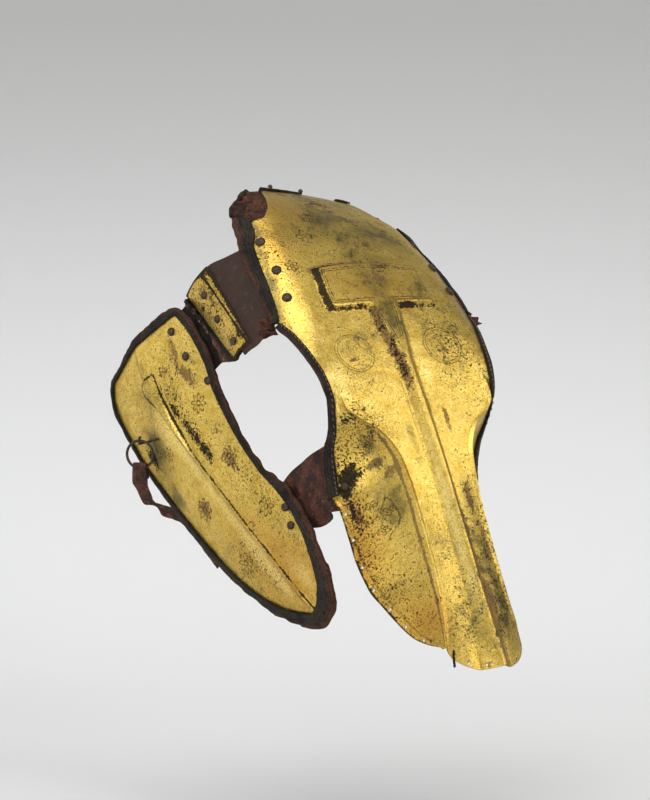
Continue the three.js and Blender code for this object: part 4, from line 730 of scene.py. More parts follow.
# Rubbed gilding and painted highlights: on the eye side, beside the stem and along the ridge's left facet.
PLATE_RUB_AND_HIGHLIGHT = (
    (290, -86, 26, 14, 0.9), (287, 24, 24, 9, 0.8), (450, -6, 130, 5, 0.9), (230, -70, 20, 20, 0.4),
    (320, -60, 20, 20, 0.5), (300, 90, 40, 12, 0.5), (150, -95, 30, 10, 0.5),
)
PLATE_FIGURES = (
    (258.7, -55.2, 23, 6, 1), (255, 55, 23, 6, 1), (99.2, -49.5, 10, 4, 0), (70.1, 27, 10, 4, 0),
    (94, 59.8, 9, 4, 0), (72, -27, 10, 4, 0), (140, -82, 8, 6, 0),
    (414.9, -64.2, 5, 5, 0), (427.5, -54.5, 5, 5, 0), (428.4, -61.7, 4, 5, 0), (430.1, -69.8, 5, 5, 0),
    (445.2, -59.9, 5, 5, 0), (414.9, 64.2, 5, 5, 0), (427.5, 54.5, 5, 5, 0), (428.4, 61.7, 4, 5, 0),
    (430.1, 69.8, 5, 5, 0), (445.2, 59.9, 5, 5, 0),
)
FLARE_STROKES = (
    (403, 64, 412, 75), (403, 64, 398, 68), (411.6, 55, 418, 52),
    (418, 52, 430, 49.5), (430, 49.5, 438.5, 48.6), (438.5, 48.6, 445, 50.6),
    (445, 50.6, 451, 56), (451, 56, 457, 58), (457, 58, 460, 48),
    (460, 48, 458.6, 44.5), (413, 55, 426, 59.6), (417.5, 72.6, 425, 66.2),
    (431, 59, 442.7, 53.2), (412, 75, 425, 81),
)
warm_mark, olive_and_shade_mark, stain_and_shade_mark, soot_and_shade_mark, pit_mark, rub_and_highlight_mark = (
    patches(plate_s, plate_x, table)
    for table in (PLATE_WARM, PLATE_OLIVE, PLATE_STAIN, PLATE_SOOT, PLATE_PITS, PLATE_RUB_AND_HIGHLIGHT)
)

# Grime and painted shade keep to the foot of the T's flanks, a painted shadow to the crease line beside the
# bead, and grime to the rim. How far a place lies inside the T's bar, inside its stem, off the crease and in
# from the rim, in mm:
off_middle, share_out = np.abs(plate_x), np.abs(plate_across)
bar_half = BAR_HALF_SHARE * section("crown", plate_s) * BROW_HALF
bar_start = BAR_TOP - BAR_ARCH * (1 - share01(off_middle / (bar_half + BAR_FLANK)) ** 2)
bar_inside = np.minimum(bar_half - off_middle, np.minimum(plate_s - bar_start, BAR_BOTTOM - plate_s))
stem_top, stem_foot = ridge("top", plate_s) * BROW_HALF, ridge("foot", plate_s) * BROW_HALF
crease_off = (share_out - 1) * section("crown", plate_s) * BROW_HALF
panel_width = (section("edge", plate_s) - section("crown", plate_s)) * BROW_HALF
rim_off = (2 - share_out) * (panel_width + np.abs(section("edge_drop", plate_s)) * FLARE_DEPTH)
lower = past(plate_s, 0.46 * PLATE_LENGTH, 40)

# Round the T: grime and painted shade at its foot all round, the stem's flanks below the bar, the bar's upper
# edge, and its left edge with grime and painted shade.
flank_grime_and_shade = bell(bar_inside, -3.6, 3.4) * (plate_s < BAR_BOTTOM + 7) * np.where(plate_x > 0, 0.72, 1)
flank_grime_and_shade = flank_grime_and_shade * np.where(plate_s > BAR_BOTTOM - 4, past(off_middle, stem_foot - 2, 5), 1)
left_stem = bell(off_middle, 0.5 * (stem_foot + stem_top), 5.2) * np.where(plate_x < 0, 1.0, 0.55)
left_stem = left_stem * past(plate_s, BAR_BOTTOM, 6) * past(plate_s, 0.54 * PLATE_LENGTH, -50)
above_bar = bell(bar_inside, -6, 4) * (plate_s < BAR_TOP + 2)
upper_band = bell(plate_s, bar_start + 4, 5) * (off_middle < bar_half)
left_edge_grime_and_shade = bell(plate_x, -bar_half, 2.8) * (plate_s > BAR_TOP - 6) * (plate_s < BAR_BOTTOM + 4)

# Down the nose and along the edges: the painted shadow beside the crease, the bead, painted shade on the
# crest and the right of the ridge, the flare's painted shadow side, the rim and the ear notch.
crease_shadow_line = bell(crease_off, 2.6, 1.2) * lower
bead_line = bell(crease_off, -6.5, 1.3) * lower * (plate_x > 0)
# Painted shade: dark lines on the ridge's right flank, at the crest and beside it.
crest_shade_line = bell(plate_x, 4.2, 1.5) * past(plate_s, 300, 50) * past(plate_s, 600, -60)
ridge_right_shade = bell(plate_x, 5, 2 + 4 * past(plate_s, 400, 200)) * past(plate_s, 330, 60)
flare_shade = bell(crease_off, 14, 12) * past(plate_x, -28, -20)
flare_shade = flare_shade * past(plate_s, 330, 20) * past(plate_s, 470, -40)
brow_sides = past(share_out, 1.45, 0.4) * (plate_s < 240)
rim_grime = bell(rim_off, 0, 4.5)
notch_grime = bell(plate_s - plate_row(0.0, plate_across), 0, 4.0) * (share_out > 0.8)
# The soot mark takes grime and painted shade at the T's foot, the painted crease shadow, and grime at the rim
# and notch.
soot_and_shade_mark = soot_and_shade_mark + flank_grime_and_shade * 0.62 + left_stem * 0.45 + crease_shadow_line * 0.3 + rim_grime * 0.75
soot_and_shade_mark = share01(soot_and_shade_mark + notch_grime * 0.8)
soot_and_shade_mark = share01(soot_and_shade_mark + 0.5 * left_edge_grime_and_shade + 0.5 * crest_shade_line + 0.32 * bead_line)
# The stain mark also takes the painted crease shadow and the painted shade right of the ridge.
stain_and_shade_mark = stain_and_shade_mark + crease_shadow_line * 0.8 + ridge_right_shade * 0.75 + left_stem * 0.85
stain_and_shade_mark = share01(stain_and_shade_mark + 0.8 * above_bar)
stain_and_shade_mark = share01(stain_and_shade_mark + 0.42 * upper_band + 0.45 * left_edge_grime_and_shade)
# The flare's painted shadow side is added to the olive mark.
olive_and_shade_mark = share01(share01(olive_and_shade_mark + 0.6 * brow_sides) + 0.5 * flare_shade)
pit_mark = pit_mark + 1.2 * left_stem
# A bright line along the top of the T's flanks: rubbed gilding and a painted highlight.
rub_and_highlight_mark = share01(rub_and_highlight_mark + 0.5 * bell(bar_inside, 0.3, 1.0))

# Two border lines run inside the T's edge, two along the flares a little in from the stitch holes,
# and one figure of strokes stands on each flare. NO_LINE is a distance at which none is drawn.
NO_LINE, BORDER_IN, STROKES_FROM, STROKES_TO = -9, 3, 395, 470
bar_border = np.where(plate_s < BAR_BOTTOM, bar_inside, NO_LINE)
stem_border = np.where(plate_s > BAR_BOTTOM - 9, np.minimum(stem_top - off_middle, 9), NO_LINE)
bar_border = np.maximum(bar_border, stem_border) - BORDER_IN
flare_border = rim_off - blend(8, 15, past(plate_s, 440, 70))
border_mark = np.where(plate_s < 0.4 * PLATE_LENGTH, bar_border, NO_LINE)
border_mark = np.where(plate_s > 0.68 * PLATE_LENGTH, flare_border, border_mark)
stroke_off = strokes(plate_s, off_middle, FLARE_STROKES)
near_strokes = (plate_s > STROKES_FROM) & (plate_s < STROKES_TO) & (stroke_off < 5)
border_mark = np.where(near_strokes, -stroke_off, border_mark)
motif_a, motif_b, motif_on, motif_petals, motif_ring = figures(plate_s, plate_x, PLATE_FIGURES)
plate_marks = {
    "tone": np.stack([warm_mark, olive_and_shade_mark, stain_and_shade_mark], -1),
    "wear": np.stack([soot_and_shade_mark, pit_mark, rub_and_highlight_mark], -1),
    "engraving": np.stack([border_mark, motif_a, motif_b], -1),
    "figure": np.stack([motif_on, motif_petals, motif_ring], -1),
}
PLATE_INWARD = np.array([0.0, 1.0, -1.0])
face_plate = sheet_piece("face_plate_gilt", plate_grid, PLATE_WALL, PLATE_INWARD, gilt, plate_marks)
settle(face_plate, "gilt", "face_plate")

# Stitch holes along the lower rim and round the nose tip, and the crescent slot at the poll that
# held a plume, are punched through the finished sheet.
HOLE_RADIUS, HOLE_INSET, HOLE_SIDES, PUNCH_REACH = 1.5, 4.5, 12, 6.0
HOLE_ROWS = np.array([0.668, 0.715, 0.765, 0.808, 0.85, 0.888, 0.921])
TIP_HOLES = np.array([-0.62, -0.3, 0.3, 0.62])
SLOT_HALF, SLOT_WIDTH, SLOT_AT, SLOT_STEPS, SLOT_PUNCH_REACH = 17.0, 7.0, 38.0, 14, 8.0


def punch(name, outlines, offs, reach):
    """Prisms: each outline of points, moved off the sheet to both sides and closed."""
    far, near = outlines + offs[:, None] * reach, outlines - offs[:, None] * reach
    return small_bodies(name, np.stack([near, far], axis=1), gilt)


rim_parts = [rim_frame(HOLE_ROWS * PLATE_LENGTH, sign) for sign in (-1.0, 1.0)]
tip_s = plate_row(NOSE_CORNER * PLATE_LENGTH, TIP_HOLES) - HOLE_INSET
hole_spots = [spot - out * HOLE_INSET for spot, out, _ in rim_parts]
hole_spots = np.concatenate([*hole_spots, plate_spot(tip_s, TIP_HOLES)])
hole_offs = np.concatenate([off for _, _, off in rim_parts] + [plate_off(tip_s, TIP_HOLES)])
hole_right = unit(np.cross(hole_offs, [0.3, 0.9, 0.1]))
hole_up = np.cross(hole_offs, hole_right)
round_x, round_y = (part[None, :, None] for part in circle(HOLE_SIDES))
hole_ring = hole_right[:, None] * round_x + hole_up[:, None] * round_y
hole_punch = punch("hole_punch", hole_spots[:, None] + hole_ring * HOLE_RADIUS, hole_offs, PUNCH_REACH)
slot_share = np.linspace(0, 1, SLOT_STEPS)
slot_x = SLOT_HALF * (2 * slot_share - 1)
bow = 2 * slot_share * (1 - slot_share)
slot_top, slot_low = SLOT_WIDTH * (2 * bow - 0.5), SLOT_WIDTH * (0.7 * bow - 0.5)
slot_line = np.concatenate([np.stack([slot_x, slot_top], 1), np.stack([slot_x, slot_low], 1)[-2:0:-1]])
slot_spot, slot_off = plate_spot(SLOT_AT, 0.0), plate_off(np.array(SLOT_AT), np.array(0.0))
slot_up = unit(plate_spot(SLOT_AT - 2, 0.0) - plate_spot(SLOT_AT + 2, 0.0))
slot_points = slot_spot + slot_line[:, :1] * np.cross(slot_up, slot_off) + slot_line[:, 1:] * slot_up
slot_punch = punch("slot_punch", slot_points[None], slot_off[None], SLOT_PUNCH_REACH)
for tool in (hole_punch, slot_punch):
    cutting = face_plate.modifiers.new("punch", "BOOLEAN")
    cutting.operation = "DIFFERENCE"
    cutting.solver = "MANIFOLD"
    cutting.object = tool
    bpy.context.view_layer.update()
    evaluated = face_plate.evaluated_get(bpy.context.evaluated_depsgraph_get())
    punched = bpy.data.meshes.new_from_object(evaluated)
    face_plate.modifiers.clear()
    face_plate.data = punched
    bpy.data.objects.remove(tool)

# Rivets: turned iron heads, domed by the hammer, driven through plate and leather. They hold the
# brow's leather, the small plates, the cheek plates' leather and the strap loops.
RIVET_RADIUS, RIVET_HEIGHT, SMALL_RIVET, RIVET_RIM, RIVET_BEDDED = 5.4, 3.4, 4.6, 0.5, 0.2
SIDES = (("right", -1.0), ("left", 1.0))
IRON_BLACK, IRON_RUST, IRON_WORN = (0.035, 0.026, 0.022), (0.11, 0.055, 0.03), (0.2, 0.17, 0.14)
iron = Finish("dark_iron")
iron_rust = iron.noise(iron.place(), 260, 4, 0.6)
iron_worn = iron.noise(iron.place(), 700, 2, 0.6)
iron_colour = iron.mix(iron.step(iron_rust, 0.42, 0.66), IRON_BLACK, IRON_RUST)
iron_colour = iron.mix(iron.step(iron_worn, 0.6, 0.72), iron_colour, IRON_WORN)
iron.surface(iron_colour, iron_rust * 0.3 + 0.38, iron_rust + iron_worn * 0.4, 0.0008, 0.6)


def rivet_heads(name, spots, offs, radius, nodes):
    """Round heads seated on the given spots. The outline is a quarter of a flattened ellipse over a
    short upright rim, turned about the direction off the sheet."""
    climb = np.linspace(0, math.pi / 2, 7)
    out = np.concatenate([[0.94], np.cos(climb)]) * radius
    height = np.concatenate([[0.0], RIVET_RIM + np.sin(climb) * (RIVET_HEIGHT - RIVET_RIM)])
    out[-1] = radius * 0.04
    right = unit(np.cross(offs, [0.3, 0.2, 1.0]))[:, None, None]
    up = np.cross(offs[:, None, None], right)
    round_x, round_y = circle(20)
    ring = round_x[:, None] * right + round_y[:, None] * up
    rings = spots[:, None, None] + ring * out[None, :, None, None]
    rings = rings + offs[:, None, None] * height[None, :, None, None]
    return settle(small_bodies(name, rings, iron.material), "iron", *nodes)


def numbered(label, count, side_name):
    return [f"{label}_{k + 1}_{side_name}" for k in range(count)]


def across_at(s, x):
    """Share at which the side panel lies x out from the middle line, found on 2000 tries."""
    tries, rows = np.broadcast_arrays(np.linspace(0, 2, 2000)[None, :], np.asarray(s)[:, None])
    outs, drops = plate_out(rows, tries)
    outs = outs - drops * np.tan(np.radians(section("sprung", rows)))
    return tries[0][np.argmin(np.abs(outs - np.asarray(x)[:, None]), axis=1)]


BROW_RIVETS = np.array([(0.1565, 0.8305), (0.2258, 0.8356), (0.2871, 0.864)])
STRAP_RIVET = np.array([(0.621, 0.665)])
HOLLOW_LIFT = 1.2
for side_name, sign in SIDES:
    for label, names, seats, lift, radius in (
        ("brow", numbered("brow_rivet", 3, side_name), BROW_RIVETS, GAP, RIVET_RADIUS),
        ("strap", [f"strap_rivet_{side_name}"], STRAP_RIVET, HOLLOW_LIFT, SMALL_RIVET),
    ):
        rivet_s = seats[:, 0] * PLATE_LENGTH
        rivet_across = across_at(rivet_s, seats[:, 1] * BROW_HALF) * sign
        rivet_off = plate_off(rivet_s, rivet_across)
        seat = plate_spot(rivet_s, rivet_across) + rivet_off * (lift - RIVET_BEDDED)
        rivet_heads(f"{label}_rivets_{side_name}", seat, rivet_off, radius, names)


# Bindings of the face plate: strips of dark leather folded over the sheet's edge and sewn through
# both layers, one round each eye cut, one behind each brow lobe, and what is left along the poll.
LEATHER, FOLD_GAP = 2.0, 0.7
DARK_BLACK, DARK_BROWN, DARK_WORN = (0.011, 0.009, 0.007), (0.04, 0.029, 0.02), (0.1, 0.036, 0.018)
DARK_CRACK, DARK_FOLD = (0.012, 0.01, 0.008), (0.06, 0.046, 0.036)
dark = Finish("dark_leather")
_, dark_around, dark_edge = dark.mark("lie")
dark_cloud = dark.noise(dark.place(), 45, 4, 0.65)
dark_grain = dark.noise(dark.place(), 600, 3, 0.6)
dark_crack = dark.step(dark.cells(dark.place(), 330), 0.06, 0.0)
dark_folds = dark.math("SINE", dark_around * 90 + dark_cloud * 9)
dark_colour = dark.mix(dark.step(dark_cloud, 0.35, 0.62), DARK_BLACK, DARK_BROWN)
dark_worn = dark.step(dark_edge + dark_cloud.swing(0.6), 0.5, 0.95)
dark_colour = dark.mix(dark_worn, dark_colour, DARK_WORN)
dark_colour = dark.mix(dark_crack, dark_colour, DARK_CRACK)
dark_colour = dark.mix(dark.step(dark_folds, 0.5, 1) * 0.3, dark_colour, DARK_FOLD)
dark_height = dark_grain + dark_cloud - dark_crack + dark_folds * 0.22
dark.surface(dark_colour, dark_grain * 0.3 + 0.55, dark_height, 0.0012, gloss=0.18)


def folded_outline(lap, reach, wall, gap=FOLD_GAP):
    """Outline of leather folded over an edge, as (out, off) pairs for each place of the path. The
    outer layer runs from the lap out to the fold and back underneath, rounded at the fold and at
    both lap ends; the inner line goes round the sheet's edge."""
    sizes = np.broadcast_arrays(*(np.atleast_1d(np.asarray(size, float)) for size in (lap, reach, gap)))
    lap, reach, gap = (size[:, None] for size in sizes)
    half, far = wall / 2, gap + LEATHER
    t = np.linspace(0, 1, 7)[None, :]
    top_out, top_off = blend(-lap + 0.5, reach - 1.2, t), blend(far, LEATHER - half, t**1.6)
    fold = np.linspace(0.15, 0.85, 5)[None, :] * math.pi
    fold_out, fold_off = reach - 1.2 + 1.2 * np.sin(fold), LEATHER * np.cos(fold) - half + 0 * reach
    low_out, low_off = top_out[:, ::-1], -wall - top_off[:, ::-1]
    lap_end = np.concatenate([-lap, -lap], axis=1)
    lower_end = np.concatenate([-wall - far + 0.5, -wall - gap], axis=1)
    upper_end = np.concatenate([gap, far - 0.5], axis=1)
    inner_out = np.concatenate([gap, gap], axis=1)
    inner_off = np.concatenate([-wall - gap, gap], axis=1)
    out = np.concatenate([top_out, fold_out, low_out, lap_end, inner_out, lap_end], axis=1)
    off = np.concatenate([top_off, fold_off, low_off, lower_end, inner_off, upper_end], axis=1)
    return np.stack([out, off], axis=-1)


def binding_piece(name, frame_parts, outline, seed, closed, node, wear=1.0):
    """Carries the folded outline along a rim. The fold's edge is torn and rubbed by waves of two
    sizes, and both layers rise and sink a little."""
    spots, outs, offs = frame_parts
    ragged = 1.1 * ripple(spots, 26, seed) + 0.6 * ripple(spots, 8, seed + 1)
    flutter = share01(0.3 * ripple(spots + outs * 5, 13, seed + 2))
    out, off = outline[..., 0], outline[..., 1]
    out = out + share01((out - 1.5) / 3) * ragged[:, None] * wear
    off = off + (np.abs(off + PLATE_WALL / 2) > 1.2) * np.sign(off) * flutter[:, None]
    rings = spots[:, None] + outs[:, None] * out[..., None] + offs[:, None] * off[..., None]
    edge = share01(out / out.max(axis=1, keepdims=True))
    lie = np.stack(np.broadcast_arrays(0.0, np.arange(out.shape[1]) / out.shape[1], edge), -1)
    piece = carried_piece(name, rings, closed, dark.material, {"lie": lie})
    return settle(piece, "dark_leather", node)


EYE_LAP, EYE_REACH, EYE_FIRST, EYE_LAST, EYE_STEP = 5.0, 3.0, 0.3323, 0.634, 0.0028
LOBE_FROM, LOBE_TO, LOBE_LAST, LOBE_ROWS = -0.001, 0.33, 0.3242, 110
LOBE_LAP, LOBE_WIDE, LOBE_NARROW, LOBE_TAPER = 3.0, 20.0, 7.0, 26


def eye_low(rows):
    """0 down to the middle of the eye cut and 1 at its lower end, where the binding is wider."""
    return share01(((rows / PLATE_LENGTH - EYE_FIRST) / (EYE_LAST - EYE_FIRST) - 0.55) / 0.3)


for side_name, sign in SIDES:
    rows = np.arange(EYE_FIRST, EYE_LAST, EYE_STEP) * PLATE_LENGTH
    outline = folded_outline(EYE_LAP + 5 * eye_low(rows), EYE_REACH + 2 * eye_low(rows), PLATE_WALL)
    eye_parts = rim_frame(rows, sign)
    binding_piece(f"eye_edge_{side_name}", eye_parts, outline, 11, False, f"eye_binding_{side_name}", 0.5)
    rows = np.linspace(0, LOBE_LAST, LOBE_ROWS) * PLATE_LENGTH
    wide = blend(LOBE_WIDE, LOBE_NARROW, rows / (LOBE_TO * PLATE_LENGTH))
    outline = folded_outline(LOBE_LAP, wide * (0.75 + 0.25 * eased(rows / LOBE_TAPER)), PLATE_WALL)
    lobe_parts = rim_frame(rows, sign)
    binding_piece(f"brow_edge_{side_name}", lobe_parts, outline, 17, False, f"side_binding_{side_name}")


def poll_frame(across):
    """On the poll edge: the spot, the direction out over the edge, that off the plate."""
    spot = plate_at(0.0, across)
    out = unit(spot - plate_at(0.3 * NOTCH_DEPTH, across))
    along = plate_at(0.0, across + 0.02) - plate_at(0.0, across - 0.02)
    off = unit(np.cross(along, out))
    return spot, out, off * np.where(off[:, 2:] < 0, -1, 1)


POLL_END, POLL_REMNANT, POLL_REACH, POLL_ROWS, POLL_RIVETS = 0.9186, 0.75, 3.0, 60, (-0.66, 0.0)
for name, first, last, lap, node in (
    ("poll_edge", -POLL_END, 0.0, 5.0, "poll_strip"),
    ("poll_remnant", POLL_REMNANT, POLL_END, 4.0, "poll_loop"),
):
    outline = folded_outline(np.full(POLL_ROWS, lap), POLL_REACH, PLATE_WALL)
    binding_piece(name, poll_frame(np.linspace(first, last, POLL_ROWS)), outline, 23, False, node, 0.4)
spots, outs, offs = poll_frame(np.array(POLL_RIVETS))
seats = spots + offs * (FOLD_GAP + LEATHER) - outs
rivet_heads("poll_rivets", seats, offs, 2.6, ["poll_rivet_1", "poll_rivet_2"])


# Cheek plates: gilt copper, domed, with a raised rib from a leaf at the top edge to the tip, and
# engraved stars along it. In their own frame u runs along the rib, v across to the nose, w off.
CHEEK_LENGTH, CHEEK_WIDTH, CHEEK_WALL, CHEEK_DOME = 380.0, 168.0, 1.5, 9.0
CHEEK_CORNER = np.array([151.4, 169.1, -12.8])
CHEEK_COLUMNS = ("f", "back_u", "back_v", "front_u", "front_v", "ridge_u", "ridge_v", "back", "front")
CHEEK_SECTIONS = np.array([
    (0, -0.1, -0.33, -0.045, 0.48, -0.1, 0.04, 5, 10),
    (0.09, -0.05, -0.44, 0.02, 0.5, -0.03, -0.02, 5, 9),
    (0.2, 0.07, -0.49, 0.13, 0.465, 0.09, -0.06, 5, 8),
    (0.3, 0.165, -0.505, 0.205, 0.385, 0.18, -0.05, 6, 8),
    (0.42, 0.29, -0.49, 0.3, 0.34, 0.29, -0.042, 8, 7),
    (0.52, 0.395, -0.47, 0.39, 0.31, 0.387, -0.036, 10, 5),
    (0.62, 0.495, -0.445, 0.487, 0.31, 0.487, -0.024, 10, 5),
    (0.72, 0.592, -0.405, 0.584, 0.345, 0.584, -0.012, 9, 12),
    (0.8, 0.671, -0.357, 0.658, 0.345, 0.663, -0.006, 9, 12),
    (0.88, 0.75, -0.28, 0.745, 0.29, 0.75, 0, 11, 13),
    (0.94, 0.82, -0.185, 0.818, 0.214, 0.824, 0.012, 13, 15),
    (0.985, 0.873, -0.065, 0.871, 0.13, 0.882, 0.016, 17, 19),
    (1, 0.889, -0.02, 0.889, 0.05, 0.893, 0.014, 20, 20),
])
CHEEK_RIDGE_HEIGHT, CHEEK_RIDGE_HALF, CHEEK_LAP, TIP_GAP = 3.2, 7.0, 2.2, 1.3


def hanging_axes(turn, tilt, fall):
    """The axes of a plate that hangs at the side: w off it, u forward and down by fall, v up."""
    t, e, f = (math.radians(angle) for angle in (turn, tilt, fall))
    w = np.array([math.sin(t) * math.cos(e), -math.cos(t) * math.cos(e), -math.sin(e)])
    forward = unit(np.cross(w, [0.0, 0.0, 1.0]))
    down = -unit(np.cross(forward, w))
    forward = -forward if forward[1] > 0 else forward
    down = -down if down[2] > 0 else down
    cos, sin = math.cos(f), math.sin(f)
    return np.stack([forward * cos + down * sin, forward * sin - down * cos, w])


def cheek(name, f):
    return fair_curve(f, CHEEK_SECTIONS[:, 0], CHEEK_SECTIONS[:, CHEEK_COLUMNS.index(name)])


cheek_axes = hanging_axes(79, 3, 43.4)
cheek_start = np.array([CHEEK_SECTIONS[0, 3] * CHEEK_LENGTH, CHEEK_SECTIONS[0, 4] * CHEEK_WIDTH, 0.0])
cheek_top = CHEEK_CORNER - cheek_start @ cheek_axes


def cheek_local(f, g, lift=0.0):
    """A point of the cheek plate's outer side in its own frame: straight from rib to rim, domed by
    the square of the way out, with the rib's roof on top."""
    f, g = np.broadcast_arrays(np.asarray(f, float), np.asarray(g, float))
    rim_u = np.where(g < 0, cheek("back_u", f), cheek("front_u", f))
    rim_v = np.where(g < 0, cheek("back_v", f), cheek("front_v", f))
    share = np.abs(g)
    u = blend(cheek("ridge_u", f), rim_u, share) * CHEEK_LENGTH
    v = blend(cheek("ridge_v", f), rim_v, share) * CHEEK_WIDTH
    arm = np.abs(rim_v - cheek("ridge_v", f)) * CHEEK_WIDTH
    fade = share01(f / 0.12) * share01((1 - f) / 0.05)
    crest = CHEEK_RIDGE_HEIGHT * fade * share01(1 - share * arm / CHEEK_RIDGE_HALF) ** 1.4
    dome = CHEEK_DOME * np.sin(math.pi * share01(0.08 + f * 0.84)) * (1 - share * share)
    return np.stack([u, v, dome + crest + lift], axis=-1)


def mirrored(points, sign):
    """The left side's points or directions, or their mirror for the right side."""
    return points * np.array([sign, 1.0, 1.0])


def on_cheek(local, sign):
    """From the cheek plate's own frame into the armour's."""
    return mirrored(cheek_top + local @ cheek_axes, sign)


def spot_and_off(spot_at, f, g, g_step, facing):
    """A spot of a surface, and the direction off it on the side that faces the given way."""
    spot = spot_at(f, g)
    off = unit(np.cross(spot_at(f + 0.01, g) - spot, spot_at(f, g + g_step) - spot))
    return spot, off * np.where(off @ facing < 0, -1, 1)[:, None]


def leaf_inside(u, v):
    """How far in from the leaf's outline a place lies: the leaf is blunt at the top edge and its
    two sides run together into the rib."""
    left = np.interp(u, (0, 11, 37, 80, 120), (-16, -21, -15, -11, -9))
    right = np.interp(u, (0, 6, 22, 42, 67, 120), (4, 6, 1, -2, -4, -6))
    return np.minimum(np.minimum(v - left, right - v), u - 1.5 - 0.1 * (v + 6))


CHEEK_WARM = ((250, -10, 90, 50, 0.5), (60, -30, 50, 30, 0.3), (300, 20, 40, 30, 0.4))
CHEEK_OLIVE = (
    (63, -50, 30, 16, 0.9), (121, -68, 24, 12, 0.9), (30, 20, 50, 60, 0.25), (200, -40, 50, 24, 0.35),
    (230, 30, 60, 20, 0.3),
)
CHEEK_STAIN = (
    (60, 50, 26, 9, 0.3), (110, 44, 20, 9, 0.35), (280, -20, 30, 8, 0.4), (215, 5, 26, 5, 0.4),
    (1, 50, 16, 11, 0.5), (24, 44, 20, 10, 0.42), (42, 45, 14, 9, 0.35), (147, 31, 14, 10, 0.7),
    (157, -42, 16, 12, 0.7), (100, 30, 20, 10, 0.35), (15, 20, 14, 12, 0.5),
)
CHEEK_SOOT = ((50, 5, 16, 5, 0.55), (84, 8, 26, 8, 0.62), (120, 11, 18, 9, 0.62), (62, -66, 18, 8, 0.7))
CHEEK_PITS = ((90, 12, 50, 10, 1.5), (20, 30, 40, 30, 0.8), (250, -30, 60, 30, 0.6), (180, 40, 60, 20, 0.7))
# Rubbed gilding and painted highlights, mainly the bright line left of the rib.
CHEEK_RUB_AND_HIGHLIGHT = (
    (120, -14, 90, 12, 0.8), (260, -12, 60, 14, 0.9), (300, 20, 40, 16, 0.7), (60, -30, 40, 24, 0.5),
    (180, 20, 50, 14, 0.5),
)
CHEEK_FIGURES = (
    (74.6, 37.3, 11, 8, 0), (144.6, 31.1, 11, 8, 0), (79.9, -39.4, 8, 7, 0), (156.7, -41.8, 13, 8, 0),
    (218, 33.3, 11, 7, 0), (236.4, -37.4, 12, 8, 0),
)
CHEEK_ROWS = np.array([0, 0.05, 0.1, 0.16, 0.22, 0.3, 0.38, 0.46, 0.54, 0.62, 0.7, 0.78, 0.86, 0.92, 0.97, 1])
CHEEK_GRID, LEAF_RISE, LEAF_TO, TIP_FROM, TIP_REACH_FROM = (190, 113), 2.4, 125, 0.9, 15
rim_f = np.concatenate([CHEEK_ROWS, [1.0], CHEEK_ROWS[::-1], [0, 0, 0]])
rim_g = np.concatenate([np.full(16, -1.0), [0.0], np.full(16, 1.0), [0.5, 0, -0.5]])
f_share, g_share = np.linspace(0, 1, CHEEK_GRID[0]), np.linspace(-1, 1, CHEEK_GRID[1])
f_grid, g_grid = np.meshgrid(f_share, g_share, indexing="ij")
cheek_flat = cheek_local(f_grid, g_grid)
u, v = cheek_flat[..., 0], cheek_flat[..., 1]
leaf = LEAF_RISE * past(leaf_inside(u, v), 0, 2.6) * past(u, LEAF_TO, -70)
cheek_dent = 0.3 * ripple(cheek_flat, 60, 5) + 0.1 * ripple(cheek_flat, 22, 6) + leaf
# Painted shade along the right flank of the rib.
rib_shade_line = bell(v - cheek("ridge_v", f_grid) * CHEEK_WIDTH, 2.2, 1.3) * share01((u - 90) / 20)
leaf_line = bell(leaf_inside(u, v), -0.3, 1.3) * share01((110 - u) / 30)
rim_off = (1 - np.abs(g_grid)) * 0.42 * CHEEK_WIDTH
end_off = np.minimum(f_grid, 1 - f_grid) * CHEEK_LENGTH
grime = bell(np.minimum(rim_off, end_off), 0, 4.5) * 0.7
warm_mark, olive_and_shade_mark, stain_and_shade_mark, soot_and_shade_mark, pit_mark, rub_and_highlight_mark = (
    patches(u, v, table)
    for table in (CHEEK_WARM, CHEEK_OLIVE, CHEEK_STAIN, CHEEK_SOOT, CHEEK_PITS, CHEEK_RUB_AND_HIGHLIGHT)
)
soot_and_shade_mark = share01(soot_and_shade_mark + grime + rib_shade_line * 0.7 + leaf_line * 0.95)
motif_a, motif_b, motif_on, motif_petals, motif_ring = figures(u, v, CHEEK_FIGURES)
cheek_marks = {
    "tone": np.stack([warm_mark, olive_and_shade_mark, stain_and_shade_mark], -1),
    "wear": np.stack([soot_and_shade_mark, pit_mark, rub_and_highlight_mark], -1),
    "engraving": np.stack([np.full_like(u, NO_LINE), motif_a, motif_b], -1),
    "figure": np.stack([motif_on, motif_petals, motif_ring], -1),
}
